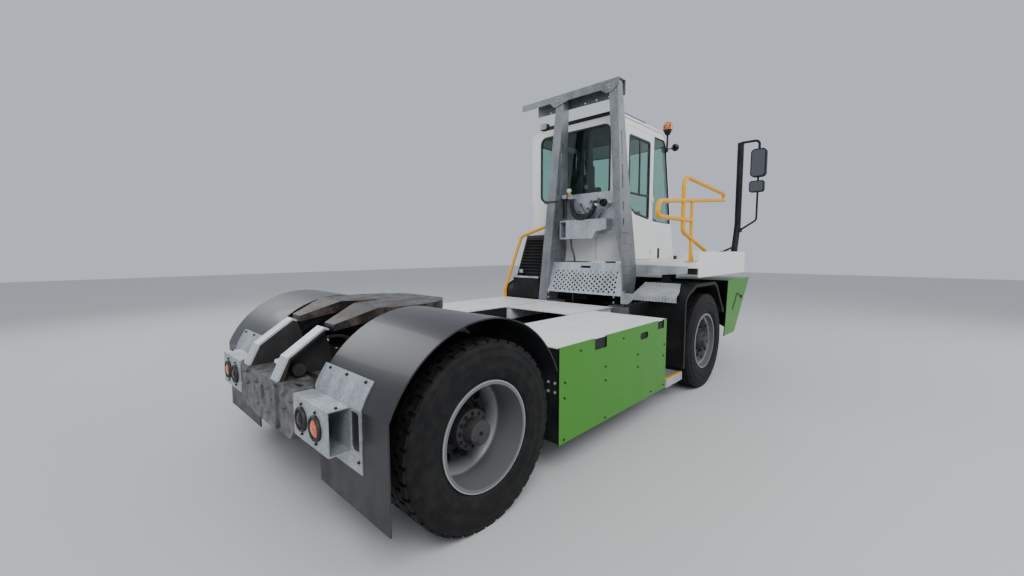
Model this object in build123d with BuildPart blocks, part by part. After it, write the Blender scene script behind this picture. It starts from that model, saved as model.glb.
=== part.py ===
"""Electric terminal tractor: two axles, lifting fifth wheel, offset cab and headboard.

Millimetres. +X points forward, +Y to the left, +Z up, and the tyres stand on Z = 0.
Lengths along X are measured ahead of the rear axle, whose place in the model is REAR_AXLE_X,
so that the whole machine is centred over the origin.
"""

from build123d import *
from math import atan2, cos, degrees, hypot, radians, sin, sqrt
import os

os.makedirs("parts", exist_ok=True)

# Whole machine
WHEELBASE = 3300
REAR_OVERHANG = 728
FRONT_OVERHANG = 1637
LAMP_PROUD = 12
REAR_AXLE_X = (REAR_OVERHANG - WHEELBASE - FRONT_OVERHANG) / 2
FRONT_AXLE_X = WHEELBASE
BODY_HALF_WIDTH = 1225
FIT = 0.3
RUNNING_FIT = 0.05

# Wheels and tyres
TYRE_RADIUS = 515
TYRE_HALF_WIDTH = 145
TREAD_HALF_WIDTH = 122
BEAD_RADIUS = 286
RIM_HALF_WIDTH = 129
RIM_WALL = 9
RIM_FLANGE = 13
OUTER_WHEEL_Y = 1089
TWIN_SPACING = 328
FRONT_WHEEL_Y = 1078
DISC_WALL = 14
HAND_HOLE_RADIUS = 30
HAND_HOLE_CIRCLE = 205
HAND_HOLES = 10

# Axles
SPINDLE_RADIUS = 45
REAR_TUBE_RADIUS = 75
REAR_TUBE_END = 560
DIFF_RADIUS = 205
SPINDLE_END = 1150
KINGPIN_Y = 960
KINGPIN_RADIUS = 22
FRONT_SPINDLE_RADIUS = 35

# Chassis rails
RAIL_OUTER_Y = 440
RAIL_INNER_Y = 360
RAIL_WALL = 9
RAIL_TOP = 757
RAIL_BOTTOM = 600
RAIL_BELLY = 500
RAIL_REAR_X = -688
BUMPER_FRONT_X = WHEELBASE + FRONT_OVERHANG - LAMP_PROUD
BUMPER_SHEET = 10
RAIL_FRONT_X = BUMPER_FRONT_X - BUMPER_SHEET - FIT
CROSS_TUBE_RADIUS = 38

# Rear cross member, tow plate and ramps
CROSS_HALF_WIDTH = 475
CROSS_BOTTOM = 470
SHEET = 8
TOW_PLATE_HALF_WIDTH = 212
RAMP_INNER_Y = 200
RAMP_OUTER_Y = 300

# Rear mudguards and lamp brackets
MUDGUARD_RADIUS = 642
MUDGUARD_SHEET = 8
MUDGUARD_INNER_Y = 510
MUDGUARD_REAR_X = -590
MUDGUARD_BOTTOM = 250
BRACKET_INNER_Y = 481
BRACKET_OUTER_Y = 1000
LAMP_BOX_OUTER_Y = 891
LAMP_BOX_REAR_X = -707
LAMP_BOX_LOW = 537
LAMP_BOX_HIGH = 757
LAMP_RADIUS = 56

# Cab, measured from its rear wall
CAB_REAR_X = WHEELBASE - 300
CAB_LENGTH = 1510
CAB_RIGHT_Y = -330
CAB_LEFT_Y = 1030
CAB_BULGE = 110
CAB_FLOOR = 1375
CAB_WALL = 45
ROOF_JOINT = 3040
ROOF_TOP = 3110
CAB_PIVOT = (CAB_REAR_X + 1440, 1325)
GLASS = 6
GLASS_DEPTH = 8
DOOR_REAR_X = CAB_REAR_X + 62
DOOR_FRONT_X = CAB_REAR_X + 758
DOOR_BOTTOM = 1392
DOOR_TOP = 2960
DOOR_GAP = 4

# Battery boxes and decks
BOX_REAR_X = 620
BOX_FRONT_RIGHT = CAB_REAR_X - 770
BOX_FRONT_LEFT = CAB_REAR_X - 360
BOX_BOTTOM = 250
DECK_TOP = 886
DECK_INNER_Y = 450
DECK_REAR_X = BOX_REAR_X + 1230
COVER_WALL = 10
COVER_INNER_Y = BODY_HALF_WIDTH - COVER_WALL

# Lifting fifth wheel
LIFT_PIVOT = (1700, 690)
TRUNNION = (50, 1030)
LIFT_ANGLE = 24
ARM_INNER_Y = 225
ARM_OUTER_Y = 285
ARM_DEPTH = 140
PLATE_TOP = 1150
PLATE_HALF_WIDTH = 475
PLATE_WALL = 26
PLATE_DEPTH = 65
KINGPIN_X = 30
KINGPIN_BORE = 25.4
ROD_EYE = (900, 735)
BARREL_FOOT = (930, 260)
CYLINDER_Y = (ARM_INNER_Y + ARM_OUTER_Y) / 2
BARREL_RADIUS = 42
BARREL_LENGTH = 405
ROD_RADIUS = 24

# Headboard
POST_REAR_X = CAB_REAR_X - 345
POST_BASE = 890
POST_TOP = 3348
POST_LEAN = 60
POST_WALL = 10
BEAM_SHEET = 8
BEAM_RIGHT_Y = -430
BEAM_LEFT_Y = 949

# Platform, steps and mudguards at the front
PLATFORM_TOP = 1385
PLATFORM_SHEET = 8
PLATFORM_UNDER = PLATFORM_TOP - 68
PLATFORM_FRONT_X = CAB_REAR_X + 1720
PLATFORM_SIDE_Y = 1195
FRONT_ARCH_RADIUS = 612
FRONT_GUARD_SHEET = 10
FRONT_GUARD_INNER_Y = 650
MIRROR_POLE_Y = 1120
MIRROR_OUTER_Y = 1430
RAIL_TUBE = 21


def across(y):
    """Side view plane at this Y: local x is ahead of the rear axle, local y is height."""
    return Plane(origin=(REAR_AXLE_X, y, 0), x_dir=(1, 0, 0), z_dir=(0, -1, 0))


def section(x):
    """Cross-section plane this far ahead of the rear axle: local x is Y, local y is height."""
    return Plane(origin=(REAR_AXLE_X + x, 0, 0), x_dir=(0, 1, 0), z_dir=(1, 0, 0))


PLAN = Plane(origin=(REAR_AXLE_X, 0, 0))


def save(piece, name):
    piece.part.label = name
    export_step(piece.part, f"parts/{name}.step")


def at(x, y, z):
    return (REAR_AXLE_X + x, y, z)


def ahead_of(start, points):
    """Side view points given from this X."""
    return [(start + x, z) for x, z in points]


def outline(plane, points):
    """Flat face with these corners on this plane."""
    with BuildSketch(plane) as face:
        with BuildLine():
            Polyline(*points, close=True)
        make_face()
    return face.sketch


def slab(points, y_low, y_high, mode=Mode.ADD):
    """A plate of this side view, from y_low to y_high."""
    extrude(outline(across(y_high), points), amount=y_high - y_low, mode=mode)


def wall(points, x_low, x_high, mode=Mode.ADD):
    """A plate of this cross-section, from x_low to x_high."""
    extrude(outline(section(x_low), points), amount=x_high - x_low, mode=mode)


def disc(x, z, radius, y_low, y_high, mode=Mode.ADD):
    """A round bar or hole along Y."""
    with BuildSketch(across(y_high)) as round_face:
        with Locations((x, z)):
            Circle(radius)
    extrude(round_face.sketch, amount=y_high - y_low, mode=mode)


def post(x, y, radius, z_low, z_high, mode=Mode.ADD):
    """An upright round bar or hole."""
    with BuildSketch(PLAN.offset(z_low)) as round_face:
        with Locations((x, y)):
            Circle(radius)
    extrude(round_face.sketch, amount=z_high - z_low, mode=mode)


def block(x_low, x_high, y_low, y_high, z_low, z_high, mode=Mode.ADD):
    """A box between these planes."""
    with BuildSketch(PLAN.offset(z_low)) as plan:
        with Locations(((x_low + x_high) / 2, (y_low + y_high) / 2)):
            Rectangle(x_high - x_low, y_high - y_low)
    extrude(plan.sketch, amount=z_high - z_low, mode=mode)


def rounded(plane, centre, size, radius, depth, mode=Mode.ADD):
    """A plate or opening with rounded corners, seen along this plane's normal."""
    with BuildSketch(plane) as face:
        with Locations(centre):
            RectangleRounded(*size, radius)
    extrude(face.sketch, amount=depth, mode=mode)


def tube(points, radii, radius):
    """A round bar along these corner points, with a bend radius at each inner corner."""
    with BuildLine() as route:
        if radii:
            FilletPolyline(*points, radius=radii)
        else:
            Polyline(*points)
    for edge in route.line.edges():
        with BuildSketch(Plane(origin=edge @ 0, z_dir=edge % 0)) as end:
            Circle(radius)
        sweep(end.sketch, path=edge)


def along_y(points, centre_x, centre_z):
    """A turned solid about the Y line through this point, from (y, radius) pairs."""
    centre = at(centre_x, 0, centre_z)
    plane = Plane(origin=centre, x_dir=(0, 1, 0), z_dir=(1, 0, 0))
    revolve(outline(plane, points), axis=Axis(centre, (0, 1, 0)))


def both_sides():
    mirror(about=Plane.XZ)


def slope(z, low, high, base, top):
    """Distance at this height on a line from base (at height low) to top (at height high)."""
    return base + (top - base) * (z - low) / (high - low)


# Chassis frame: two C rails, lift pivot pin, cylinder hanger and the portals under the cab
RAIL_PROFILE = [
    (RAIL_REAR_X, RAIL_BOTTOM),
    (BOX_REAR_X - 270, RAIL_BOTTOM),
    (BOX_REAR_X - 20, RAIL_BELLY),
    (WHEELBASE - 800, RAIL_BELLY),
    (WHEELBASE - 600, RAIL_BOTTOM),
    (RAIL_FRONT_X, RAIL_BOTTOM),
    (RAIL_FRONT_X, RAIL_TOP),
    (RAIL_REAR_X, RAIL_TOP),
]
CROSS_TUBE_Z = 690
CROSS_TUBES = [-480, 540, 1930, WHEELBASE - 540, WHEELBASE + 600]
PORTAL_DEPTH = 60
PORTAL_WIDTH = RAIL_OUTER_Y - RAIL_INNER_Y
PORTAL_BOTTOM = PLATFORM_UNDER - 67
PORTALS = [CAB_REAR_X + 20, CAB_REAR_X + 1300]
PIVOT_FORKS = [100, 600]
PIVOT_RADIUS = 15
FORK_WALL = 15
FORK_GAP = 17
REST_PADS = [-150, 850]
HANGER_X = 1035
SHAFT_RADIUS = 45
FOOT_PIN_RADIUS = 20
FOOT_PLATES = [188, 307]
LIFT_PIN_RADIUS = 30
with BuildPart() as frame_rails:
    slab(RAIL_PROFILE, -RAIL_OUTER_Y, -RAIL_INNER_Y)
    with BuildSketch(across(-RAIL_INNER_Y + RAIL_WALL)):
        with BuildLine():
            Polyline(*RAIL_PROFILE, close=True)
        make_face()
        offset(amount=-RAIL_WALL, mode=Mode.REPLACE)
    extrude(amount=RAIL_OUTER_Y - RAIL_INNER_Y, mode=Mode.SUBTRACT)
    both_sides()
    web = RAIL_OUTER_Y - RAIL_WALL / 2
    disc(*LIFT_PIVOT, LIFT_PIN_RADIUS, -web, web)
    # hanger under the rails that carries the feet of the two lift cylinders
    foot_x, foot_z = BARREL_FOOT
    block(HANGER_X, HANGER_X + 20, -web, web, foot_z - 40, RAIL_BELLY + 100)
    disc_plane = section(HANGER_X)
    with BuildSketch(disc_plane):
        with Locations((0, TYRE_RADIUS)):
            Circle(SHAFT_RADIUS + 25)
    extrude(amount=20, mode=Mode.SUBTRACT)
    for inner in FOOT_PLATES:
        for side in (-1, 1):
            low = min(side * inner, side * (inner + FORK_WALL))
            slab(
                [
                    (foot_x - 40, foot_z - 35),
                    (HANGER_X, foot_z - 40),
                    (HANGER_X, foot_z + 90),
                    (foot_x - 40, foot_z + 30),
                ],
                low,
                low + FORK_WALL,
            )
    for side in (-1, 1):
        disc(foot_x, foot_z, FOOT_PIN_RADIUS, side * CYLINDER_Y - 67, side * CYLINDER_Y + 67)
    for x in PORTALS:
        block(x, x + PORTAL_DEPTH, -PLATFORM_SIDE_Y + 5, PLATFORM_SIDE_Y - 5, PORTAL_BOTTOM, PLATFORM_UNDER)
        for side in (-1, 1):
            low = min(side * RAIL_INNER_Y, side * RAIL_OUTER_Y)
            block(x, x + PORTAL_DEPTH, low, low + PORTAL_WIDTH, RAIL_TOP, PORTAL_BOTTOM)
    # forks of the cab's tilt pivot, and the pads it rests on at the rear
    pivot_x, pivot_z = CAB_PIVOT
    for y in PIVOT_FORKS:
        for low in (y - FORK_GAP - FORK_WALL, y + FORK_GAP):
            slab(
                [
                    (pivot_x - 100, PORTAL_BOTTOM),
                    (pivot_x, PORTAL_BOTTOM),
                    (pivot_x + 40, pivot_z - 15),
                    (pivot_x + 40, pivot_z + 25),
                    (pivot_x - 40, pivot_z + 37),
                    (pivot_x - 100, pivot_z - 15),
                ],
                low,
                low + FORK_WALL,
            )
        disc(pivot_x, pivot_z, PIVOT_RADIUS, y - FORK_GAP - FORK_WALL, y + FORK_GAP + FORK_WALL)
    for y in REST_PADS:
        block(CAB_REAR_X + 25, CAB_REAR_X + 75, y - 40, y + 40, PLATFORM_UNDER, CAB_FLOOR - FIT)
save(frame_rails, "frame_rails")

# Cross tubes, butted between the webs of the rails
TUBE_HALF = RAIL_OUTER_Y - RAIL_WALL
with BuildPart() as cross_tubes:
    for x in CROSS_TUBES:
        disc(x, CROSS_TUBE_Z, CROSS_TUBE_RADIUS, -TUBE_HALF, TUBE_HALF)
save(cross_tubes, "cross_tubes")

# Rear cross member with its tow plate, top sheet and the two ramps that lead a trailer up
SHEET_TOP = RAIL_TOP + SHEET
TOW_FACE_X = RAIL_REAR_X - 27
CROSS_FACE_X = RAIL_REAR_X - 12
TOW_HOLES = [(-95, 700), (95, 700), (-95, 560), (95, 560), (-160, 640), (160, 640)]
TOW_HOLE_RADIUS = 11
RAMP_LINE = [(-728, 782), (-668, 905), (-455, 1050), (-430, 1040)]
RAMP_STRIP = 10
RAMP_WEB = 22
with BuildPart() as rear_crossmember:
    wall(
        [
            (-CROSS_HALF_WIDTH, SHEET_TOP),
            (-CROSS_HALF_WIDTH, 560),
            (-380, CROSS_BOTTOM),
            (380, CROSS_BOTTOM),
            (CROSS_HALF_WIDTH, 560),
            (CROSS_HALF_WIDTH, SHEET_TOP),
        ],
        CROSS_FACE_X,
        RAIL_REAR_X,
    )
    tow_depth = CROSS_FACE_X - TOW_FACE_X
    rounded(section(TOW_FACE_X), (0, 622), (2 * TOW_PLATE_HALF_WIDTH, 284), 20, tow_depth)
    with BuildSketch(section(TOW_FACE_X)):
        with Locations((0, 640)):
            SlotOverall(120, 72, rotation=90)
        with Locations(*TOW_HOLES):
            Circle(TOW_HOLE_RADIUS)
    extrude(amount=RAIL_REAR_X - TOW_FACE_X, mode=Mode.SUBTRACT)
    block(CROSS_FACE_X, -420, -CROSS_HALF_WIDTH, CROSS_HALF_WIDTH, RAIL_TOP, SHEET_TOP)
    for side in (-1, 1):
        with BuildSketch(PLAN.offset(RAIL_TOP)):
            with Locations((-640, side * 385)):
                SlotOverall(90, 34, rotation=90)
        extrude(amount=SHEET, mode=Mode.SUBTRACT)
    slab([(-728, SHEET_TOP), *RAMP_LINE, (-350, SHEET_TOP)], -RAMP_OUTER_Y, -RAMP_INNER_Y)
    inner_line = [(x + 18, z - RAMP_STRIP - 8) for x, z in RAMP_LINE[1:]]
    slab(
        [(RAIL_REAR_X, SHEET_TOP + 8), *inner_line, (-372, SHEET_TOP + 8)],
        -RAMP_OUTER_Y - 1,
        -RAMP_INNER_Y - RAMP_WEB,
        mode=Mode.SUBTRACT,
    )
    disc(-600, 820, 36, -RAMP_OUTER_Y + 10, -RAMP_INNER_Y - RAMP_WEB)
    both_sides()
save(rear_crossmember, "rear_crossmember")


# Axles
with BuildPart() as rear_axle:
    along_y(
        [
            (-SPINDLE_END, 0),
            (-SPINDLE_END, SPINDLE_RADIUS),
            (-REAR_TUBE_END, SPINDLE_RADIUS),
            (-REAR_TUBE_END, REAR_TUBE_RADIUS),
            (-230, REAR_TUBE_RADIUS),
            (-120, DIFF_RADIUS - 25),
            (-60, DIFF_RADIUS),
            (60, DIFF_RADIUS),
            (120, DIFF_RADIUS - 25),
            (230, REAR_TUBE_RADIUS),
            (REAR_TUBE_END, REAR_TUBE_RADIUS),
            (REAR_TUBE_END, SPINDLE_RADIUS),
            (SPINDLE_END, SPINDLE_RADIUS),
            (SPINDLE_END, 0),
        ],
        0,
        TYRE_RADIUS,
    )
    with BuildSketch(section(0)):
        with Locations((0, TYRE_RADIUS)):
            Circle(85)
    extrude(amount=300)
    for side in (-1, 1):
        low = min(side * (RAIL_INNER_Y - 10), side * (RAIL_OUTER_Y + 10))
        block(-95, 95, low, low + PORTAL_WIDTH + 20, TYRE_RADIUS, RAIL_BOTTOM)
save(rear_axle, "rear_axle")

BEAM_DROP = 430
FIST = 45
with BuildPart() as front_axle:
    wall(
        [
            (-KINGPIN_Y, TYRE_RADIUS + 50),
            (-KINGPIN_Y, TYRE_RADIUS - FIST),
            (-KINGPIN_Y + 62, TYRE_RADIUS - FIST),
            (-700, BEAM_DROP - 60),
            (700, BEAM_DROP - 60),
            (KINGPIN_Y - 62, TYRE_RADIUS - FIST),
            (KINGPIN_Y, TYRE_RADIUS - FIST),
            (KINGPIN_Y, TYRE_RADIUS + 50),
            (640, BEAM_DROP + 50),
            (-640, BEAM_DROP + 50),
        ],
        FRONT_AXLE_X - 45,
        FRONT_AXLE_X + 45,
    )
    for side in (-1, 1):
        post(FRONT_AXLE_X, side * KINGPIN_Y, 50, TYRE_RADIUS - FIST, TYRE_RADIUS + 50)
        post(FRONT_AXLE_X, side * KINGPIN_Y, KINGPIN_RADIUS, TYRE_RADIUS - 95, TYRE_RADIUS + 100)
        low = min(side * (RAIL_INNER_Y - 10), side * (RAIL_OUTER_Y + 10))
        block(FRONT_AXLE_X - 60, FRONT_AXLE_X + 60, low, low + PORTAL_WIDTH + 20, BEAM_DROP, RAIL_BOTTOM)
save(front_axle, "front_axle")

# Electric drive: one motor between the rails, with its shaft to the rear axle
MOTOR_REAR_X = WHEELBASE - 1250
MOTOR_RADIUS = 130
with BuildPart() as drive_motor:
    with BuildSketch(section(MOTOR_REAR_X)):
        with Locations((0, TYRE_RADIUS)):
            Circle(MOTOR_RADIUS)
    extrude(amount=500)
    with BuildSketch(section(300 + FIT)):
        with Locations((0, TYRE_RADIUS)):
            Circle(SHAFT_RADIUS)
    extrude(amount=MOTOR_REAR_X - 300 - FIT)
    mount_half = RAIL_INNER_Y - RAIL_WALL
    block(MOTOR_REAR_X + 70, MOTOR_REAR_X + 430, -mount_half, mount_half, 520, 560)
save(drive_motor, "drive_motor")


# Wheels: a pressed rim with its disc and hub, and the tyre on it
def rim_ring(centre):
    """(y, radius) outline of a rim of this mid plane, flanges outwards."""
    low = centre - RIM_HALF_WIDTH
    high = centre + RIM_HALF_WIDTH
    return [
        (low, BEAD_RADIUS - RIM_WALL),
        (low, BEAD_RADIUS + RIM_FLANGE),
        (low + RIM_WALL, BEAD_RADIUS + RIM_FLANGE),
        (low + RIM_WALL, BEAD_RADIUS),
        (high - RIM_WALL, BEAD_RADIUS),
        (high - RIM_WALL, BEAD_RADIUS + RIM_FLANGE),
        (high, BEAD_RADIUS + RIM_FLANGE),
        (high, BEAD_RADIUS - RIM_WALL),
    ]


def tyre_ring(centre):
    """(y, radius) outline of a tyre of this mid plane."""
    bead = RIM_HALF_WIDTH - RIM_WALL - FIT
    right = [
        (bead, BEAD_RADIUS + FIT),
        (bead, BEAD_RADIUS + RIM_FLANGE + 8),
        (TYRE_HALF_WIDTH - 4, BEAD_RADIUS + 62),
        (TYRE_HALF_WIDTH, TYRE_RADIUS - 115),
        (TYRE_HALF_WIDTH - 5, TYRE_RADIUS - 60),
        (TREAD_HALF_WIDTH + 5, TYRE_RADIUS - 12),
        (TREAD_HALF_WIDTH - 12, TYRE_RADIUS),
    ]
    left = [(-y, r) for y, r in reversed(right)]
    return [(centre + y, r) for y, r in right + left]


WELD_RADIUS = BEAD_RADIUS - RIM_WALL + 1
INNER_WHEEL_Y = OUTER_WHEEL_Y - TWIN_SPACING
TWIN_FACE_Y = OUTER_WHEEL_Y - TWIN_SPACING / 2
with BuildPart() as rear_rims_right:
    face = -TWIN_FACE_Y
    for centre, side in ((-OUTER_WHEEL_Y, -1), (-INNER_WHEEL_Y, 1)):
        along_y(rim_ring(centre), 0, TYRE_RADIUS)
        edge = centre - side * RIM_HALF_WIDTH
        along_y(
            [
                (face, 100),
                (face, 236),
                (edge + side * 40, WELD_RADIUS),
                (edge + side * 60, WELD_RADIUS),
                (face + side * DISC_WALL, 226),
                (face + side * DISC_WALL, 100),
            ],
            0,
            TYRE_RADIUS,
        )
    # hub with its cap, and the brake drum inside the inner wheel
    along_y(
        [
            (-REAR_TUBE_END - 12, SPINDLE_RADIUS + RUNNING_FIT),
            (-REAR_TUBE_END - 12, 95),
            (face + 75, 110),
            (face + 75, 190),
            (face + 200, 190),
            (face + 200, 210),
            (face + 55, 207),
            (face + 20, 185),
            (face - 30, 150),
            (face - 45, 118),
            (-SPINDLE_END + 60, 112),
            (-SPINDLE_END + 50, 78),
            (-SPINDLE_END - 12, 70),
            (-SPINDLE_END - 15, 0),
            (-SPINDLE_END - 2, 0),
            (-SPINDLE_END - 2, SPINDLE_RADIUS + RUNNING_FIT),
        ],
        0,
        TYRE_RADIUS,
    )
    with BuildSketch(across(face + 70)):
        with Locations((0, TYRE_RADIUS)):
            with PolarLocations(HAND_HOLE_CIRCLE, HAND_HOLES):
                Circle(HAND_HOLE_RADIUS)
    extrude(amount=150, mode=Mode.SUBTRACT)
save(rear_rims_right, "rear_rims_right")
with BuildPart() as rear_rims_left:
    mirror(rear_rims_right.part, about=Plane.XZ)
save(rear_rims_left, "rear_rims_left")

with BuildPart() as rear_tyres_right:
    for y in (-OUTER_WHEEL_Y, -INNER_WHEEL_Y):
        along_y(tyre_ring(y), 0, TYRE_RADIUS)
save(rear_tyres_right, "rear_tyres_right")
with BuildPart() as rear_tyres_left:
    mirror(rear_tyres_right.part, about=Plane.XZ)
save(rear_tyres_left, "rear_tyres_left")

FRONT_FACE_Y = FRONT_WHEEL_Y + 22
FRONT_SPINDLE_END = FRONT_WHEEL_Y + 102
FRONT_HOLE_CIRCLE = 232
FRONT_HOLE_RADIUS = 22
with BuildPart() as front_rim_right:
    along_y(rim_ring(-FRONT_WHEEL_Y), FRONT_AXLE_X, TYRE_RADIUS)
    face = -FRONT_FACE_Y
    along_y(
        [
            (face, 90),
            (face, 200),
            (face - 42, 236),
            (face - 50, 262),
            (face - 40, WELD_RADIUS),
            (face - 56, WELD_RADIUS),
            (face - 66, 262),
            (face - 58, 226),
            (face - DISC_WALL, 190),
            (face - DISC_WALL, 90),
        ],
        FRONT_AXLE_X,
        TYRE_RADIUS,
    )
    along_y(
        [
            (-FRONT_WHEEL_Y + 38, FRONT_SPINDLE_RADIUS + RUNNING_FIT),
            (-FRONT_WHEEL_Y + 38, 105),
            (face, 125),
            (face - 30, 110),
            (-FRONT_SPINDLE_END - 10, 95),
            (-FRONT_SPINDLE_END - 20, 68),
            (-FRONT_SPINDLE_END - 42, 60),
            (-FRONT_SPINDLE_END - 45, 0),
            (-FRONT_SPINDLE_END - 2, 0),
            (-FRONT_SPINDLE_END - 2, FRONT_SPINDLE_RADIUS + RUNNING_FIT),
        ],
        FRONT_AXLE_X,
        TYRE_RADIUS,
    )
    with BuildSketch(across(face + 10)):
        with Locations((FRONT_AXLE_X, TYRE_RADIUS)):
            with PolarLocations(FRONT_HOLE_CIRCLE, HAND_HOLES):
                Circle(FRONT_HOLE_RADIUS)
    extrude(amount=100, mode=Mode.SUBTRACT)
save(front_rim_right, "front_rim_right")
with BuildPart() as front_rim_left:
    mirror(front_rim_right.part, about=Plane.XZ)
save(front_rim_left, "front_rim_left")
with BuildPart() as front_tyre_right:
    along_y(tyre_ring(-FRONT_WHEEL_Y), FRONT_AXLE_X, TYRE_RADIUS)
save(front_tyre_right, "front_tyre_right")
with BuildPart() as front_tyre_left:
    mirror(front_tyre_right.part, about=Plane.XZ)
save(front_tyre_left, "front_tyre_left")

# Steering knuckles: a yoke round the kingpin, the spindle, and the arm to the tie rod
ARM_X = FRONT_AXLE_X - 190
ARM_PIN_RADIUS = 14
YOKE_LOW = TYRE_RADIUS - 90
YOKE_HIGH = TYRE_RADIUS + 95
with BuildPart() as knuckle_right:
    for low, high in ((YOKE_LOW, YOKE_LOW + 40), (YOKE_HIGH - 40, YOKE_HIGH)):
        post(FRONT_AXLE_X, -KINGPIN_Y, 48, low, high)
        block(FRONT_AXLE_X - 48, FRONT_AXLE_X + 48, -KINGPIN_Y - 80, -KINGPIN_Y, low, high)
    block(
        FRONT_AXLE_X - 48,
        FRONT_AXLE_X + 48,
        -KINGPIN_Y - 78,
        -KINGPIN_Y - 55,
        YOKE_LOW,
        YOKE_HIGH,
    )
    disc(FRONT_AXLE_X, TYRE_RADIUS, FRONT_SPINDLE_RADIUS, -FRONT_SPINDLE_END, -KINGPIN_Y - 56)
    post(
        FRONT_AXLE_X,
        -KINGPIN_Y,
        KINGPIN_RADIUS + RUNNING_FIT,
        YOKE_LOW - 5,
        YOKE_HIGH + 10,
        mode=Mode.SUBTRACT,
    )
    arm = outline(
        PLAN.offset(YOKE_LOW),
        [
            (FRONT_AXLE_X - 30, -KINGPIN_Y - 30),
            (ARM_X - 20, -KINGPIN_Y - 22),
            (ARM_X - 20, -KINGPIN_Y + 22),
            (FRONT_AXLE_X - 30, -KINGPIN_Y + 30),
        ],
    )
    extrude(arm, amount=22)
    post(ARM_X, -KINGPIN_Y, ARM_PIN_RADIUS, YOKE_LOW - 45, YOKE_LOW)
save(knuckle_right, "knuckle_right")
with BuildPart() as knuckle_left:
    mirror(knuckle_right.part, about=Plane.XZ)
save(knuckle_left, "knuckle_left")
with BuildPart() as tie_rod:
    for side in (-1, 1):
        post(ARM_X, side * KINGPIN_Y, 30, YOKE_LOW - 40, YOKE_LOW - 4)
    disc(ARM_X, YOKE_LOW - 22, 16, -KINGPIN_Y + 26, KINGPIN_Y - 26)
    for side in (-1, 1):
        hole = ARM_PIN_RADIUS + RUNNING_FIT
        post(ARM_X, side * KINGPIN_Y, hole, YOKE_LOW - 40, YOKE_LOW - 4, mode=Mode.SUBTRACT)
save(tie_rod, "tie_rod")

# Rear mudguards: a rolled sheet over each pair of wheels, straight down behind them
MUDGUARD_CENTRE = (0, TYRE_RADIUS - 10)
MUDGUARD_FRONT_ANGLE = 22
with BuildPart() as rear_mudguards:
    rear_angle = degrees(atan2(sqrt(MUDGUARD_RADIUS**2 - MUDGUARD_REAR_X**2), MUDGUARD_REAR_X))
    with BuildSketch(across(-MUDGUARD_INNER_Y)):
        with BuildLine() as path:
            arc = CenterArc(
                MUDGUARD_CENTRE,
                MUDGUARD_RADIUS,
                MUDGUARD_FRONT_ANGLE,
                rear_angle - MUDGUARD_FRONT_ANGLE,
            )
            Line(arc @ 1, (MUDGUARD_REAR_X, MUDGUARD_BOTTOM))
        trace(line_width=MUDGUARD_SHEET)
    extrude(amount=BODY_HALF_WIDTH - MUDGUARD_INNER_Y)
    block(MUDGUARD_REAR_X, MUDGUARD_REAR_X + 45, -570, -RAIL_OUTER_Y - FIT, 620, 740)
    both_sides()
save(rear_mudguards, "rear_mudguards")

# Lamp brackets: bent sheet with a window, and the open-sided lamp box in front of it
BRACKET_SHEET = 6
BRACKET_FOOT = 455
BRACKET_ANGLE = 144
BRACKET_X = MUDGUARD_REAR_X - MUDGUARD_SHEET / 2 - FIT - BRACKET_SHEET
LAMP_Y = [590, 760]
LAMP_Z = (LAMP_BOX_LOW + LAMP_BOX_HIGH) / 2
with BuildPart() as lamp_brackets:
    with BuildSketch(across(-BRACKET_INNER_Y)):
        with BuildLine() as path:
            middle_x = BRACKET_X + BRACKET_SHEET / 2
            flange_radius = MUDGUARD_RADIUS + MUDGUARD_SHEET / 2 + FIT + BRACKET_SHEET / 2
            flange_end = degrees(atan2(sqrt(flange_radius**2 - middle_x**2), middle_x))
            flange = CenterArc(
                MUDGUARD_CENTRE,
                flange_radius,
                BRACKET_ANGLE,
                flange_end - BRACKET_ANGLE,
            )
            Line(flange @ 1, (middle_x, BRACKET_FOOT))
        trace(line_width=BRACKET_SHEET)
    extrude(amount=BRACKET_OUTER_Y - BRACKET_INNER_Y)
    rounded(section(BRACKET_X), (-940, 650), (80, 190), 18, BRACKET_SHEET, mode=Mode.SUBTRACT)
    slab(
        [
            (BRACKET_X, LAMP_BOX_LOW),
            (LAMP_BOX_REAR_X, LAMP_BOX_LOW),
            (LAMP_BOX_REAR_X, LAMP_BOX_HIGH),
            (BRACKET_X, LAMP_BOX_HIGH),
            (BRACKET_X, LAMP_BOX_HIGH - BRACKET_SHEET),
            (LAMP_BOX_REAR_X + BRACKET_SHEET, LAMP_BOX_HIGH - BRACKET_SHEET),
            (LAMP_BOX_REAR_X + BRACKET_SHEET, LAMP_BOX_LOW + BRACKET_SHEET),
            (BRACKET_X, LAMP_BOX_LOW + BRACKET_SHEET),
        ],
        -LAMP_BOX_OUTER_Y,
        -BRACKET_INNER_Y,
    )
    with BuildSketch(section(LAMP_BOX_REAR_X)):
        with Locations(*[(-y, LAMP_Z) for y in LAMP_Y]):
            Circle(LAMP_RADIUS + 1)
    extrude(amount=BRACKET_SHEET, mode=Mode.SUBTRACT)
    both_sides()
save(lamp_brackets, "lamp_brackets")

HEADLAMP = ((-720, 850), (200, 130), 30)
SIDE_LAMP_X = WHEELBASE + 1220
with BuildPart() as lamps:
    for y in LAMP_Y:
        with BuildSketch(section(LAMP_BOX_REAR_X - 6)):
            with Locations((-y, LAMP_Z)):
                Circle(LAMP_RADIUS + 8)
        extrude(amount=6)
        with BuildSketch(section(LAMP_BOX_REAR_X)):
            with Locations((-y, LAMP_Z)):
                Circle(LAMP_RADIUS)
        extrude(amount=50)
    rounded(section(BUMPER_FRONT_X), *HEADLAMP, LAMP_PROUD)
    block(SIDE_LAMP_X, SIDE_LAMP_X + 60, -BODY_HALF_WIDTH - 18, -BODY_HALF_WIDTH, 895, 925)
    both_sides()
save(lamps, "lamps")

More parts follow.
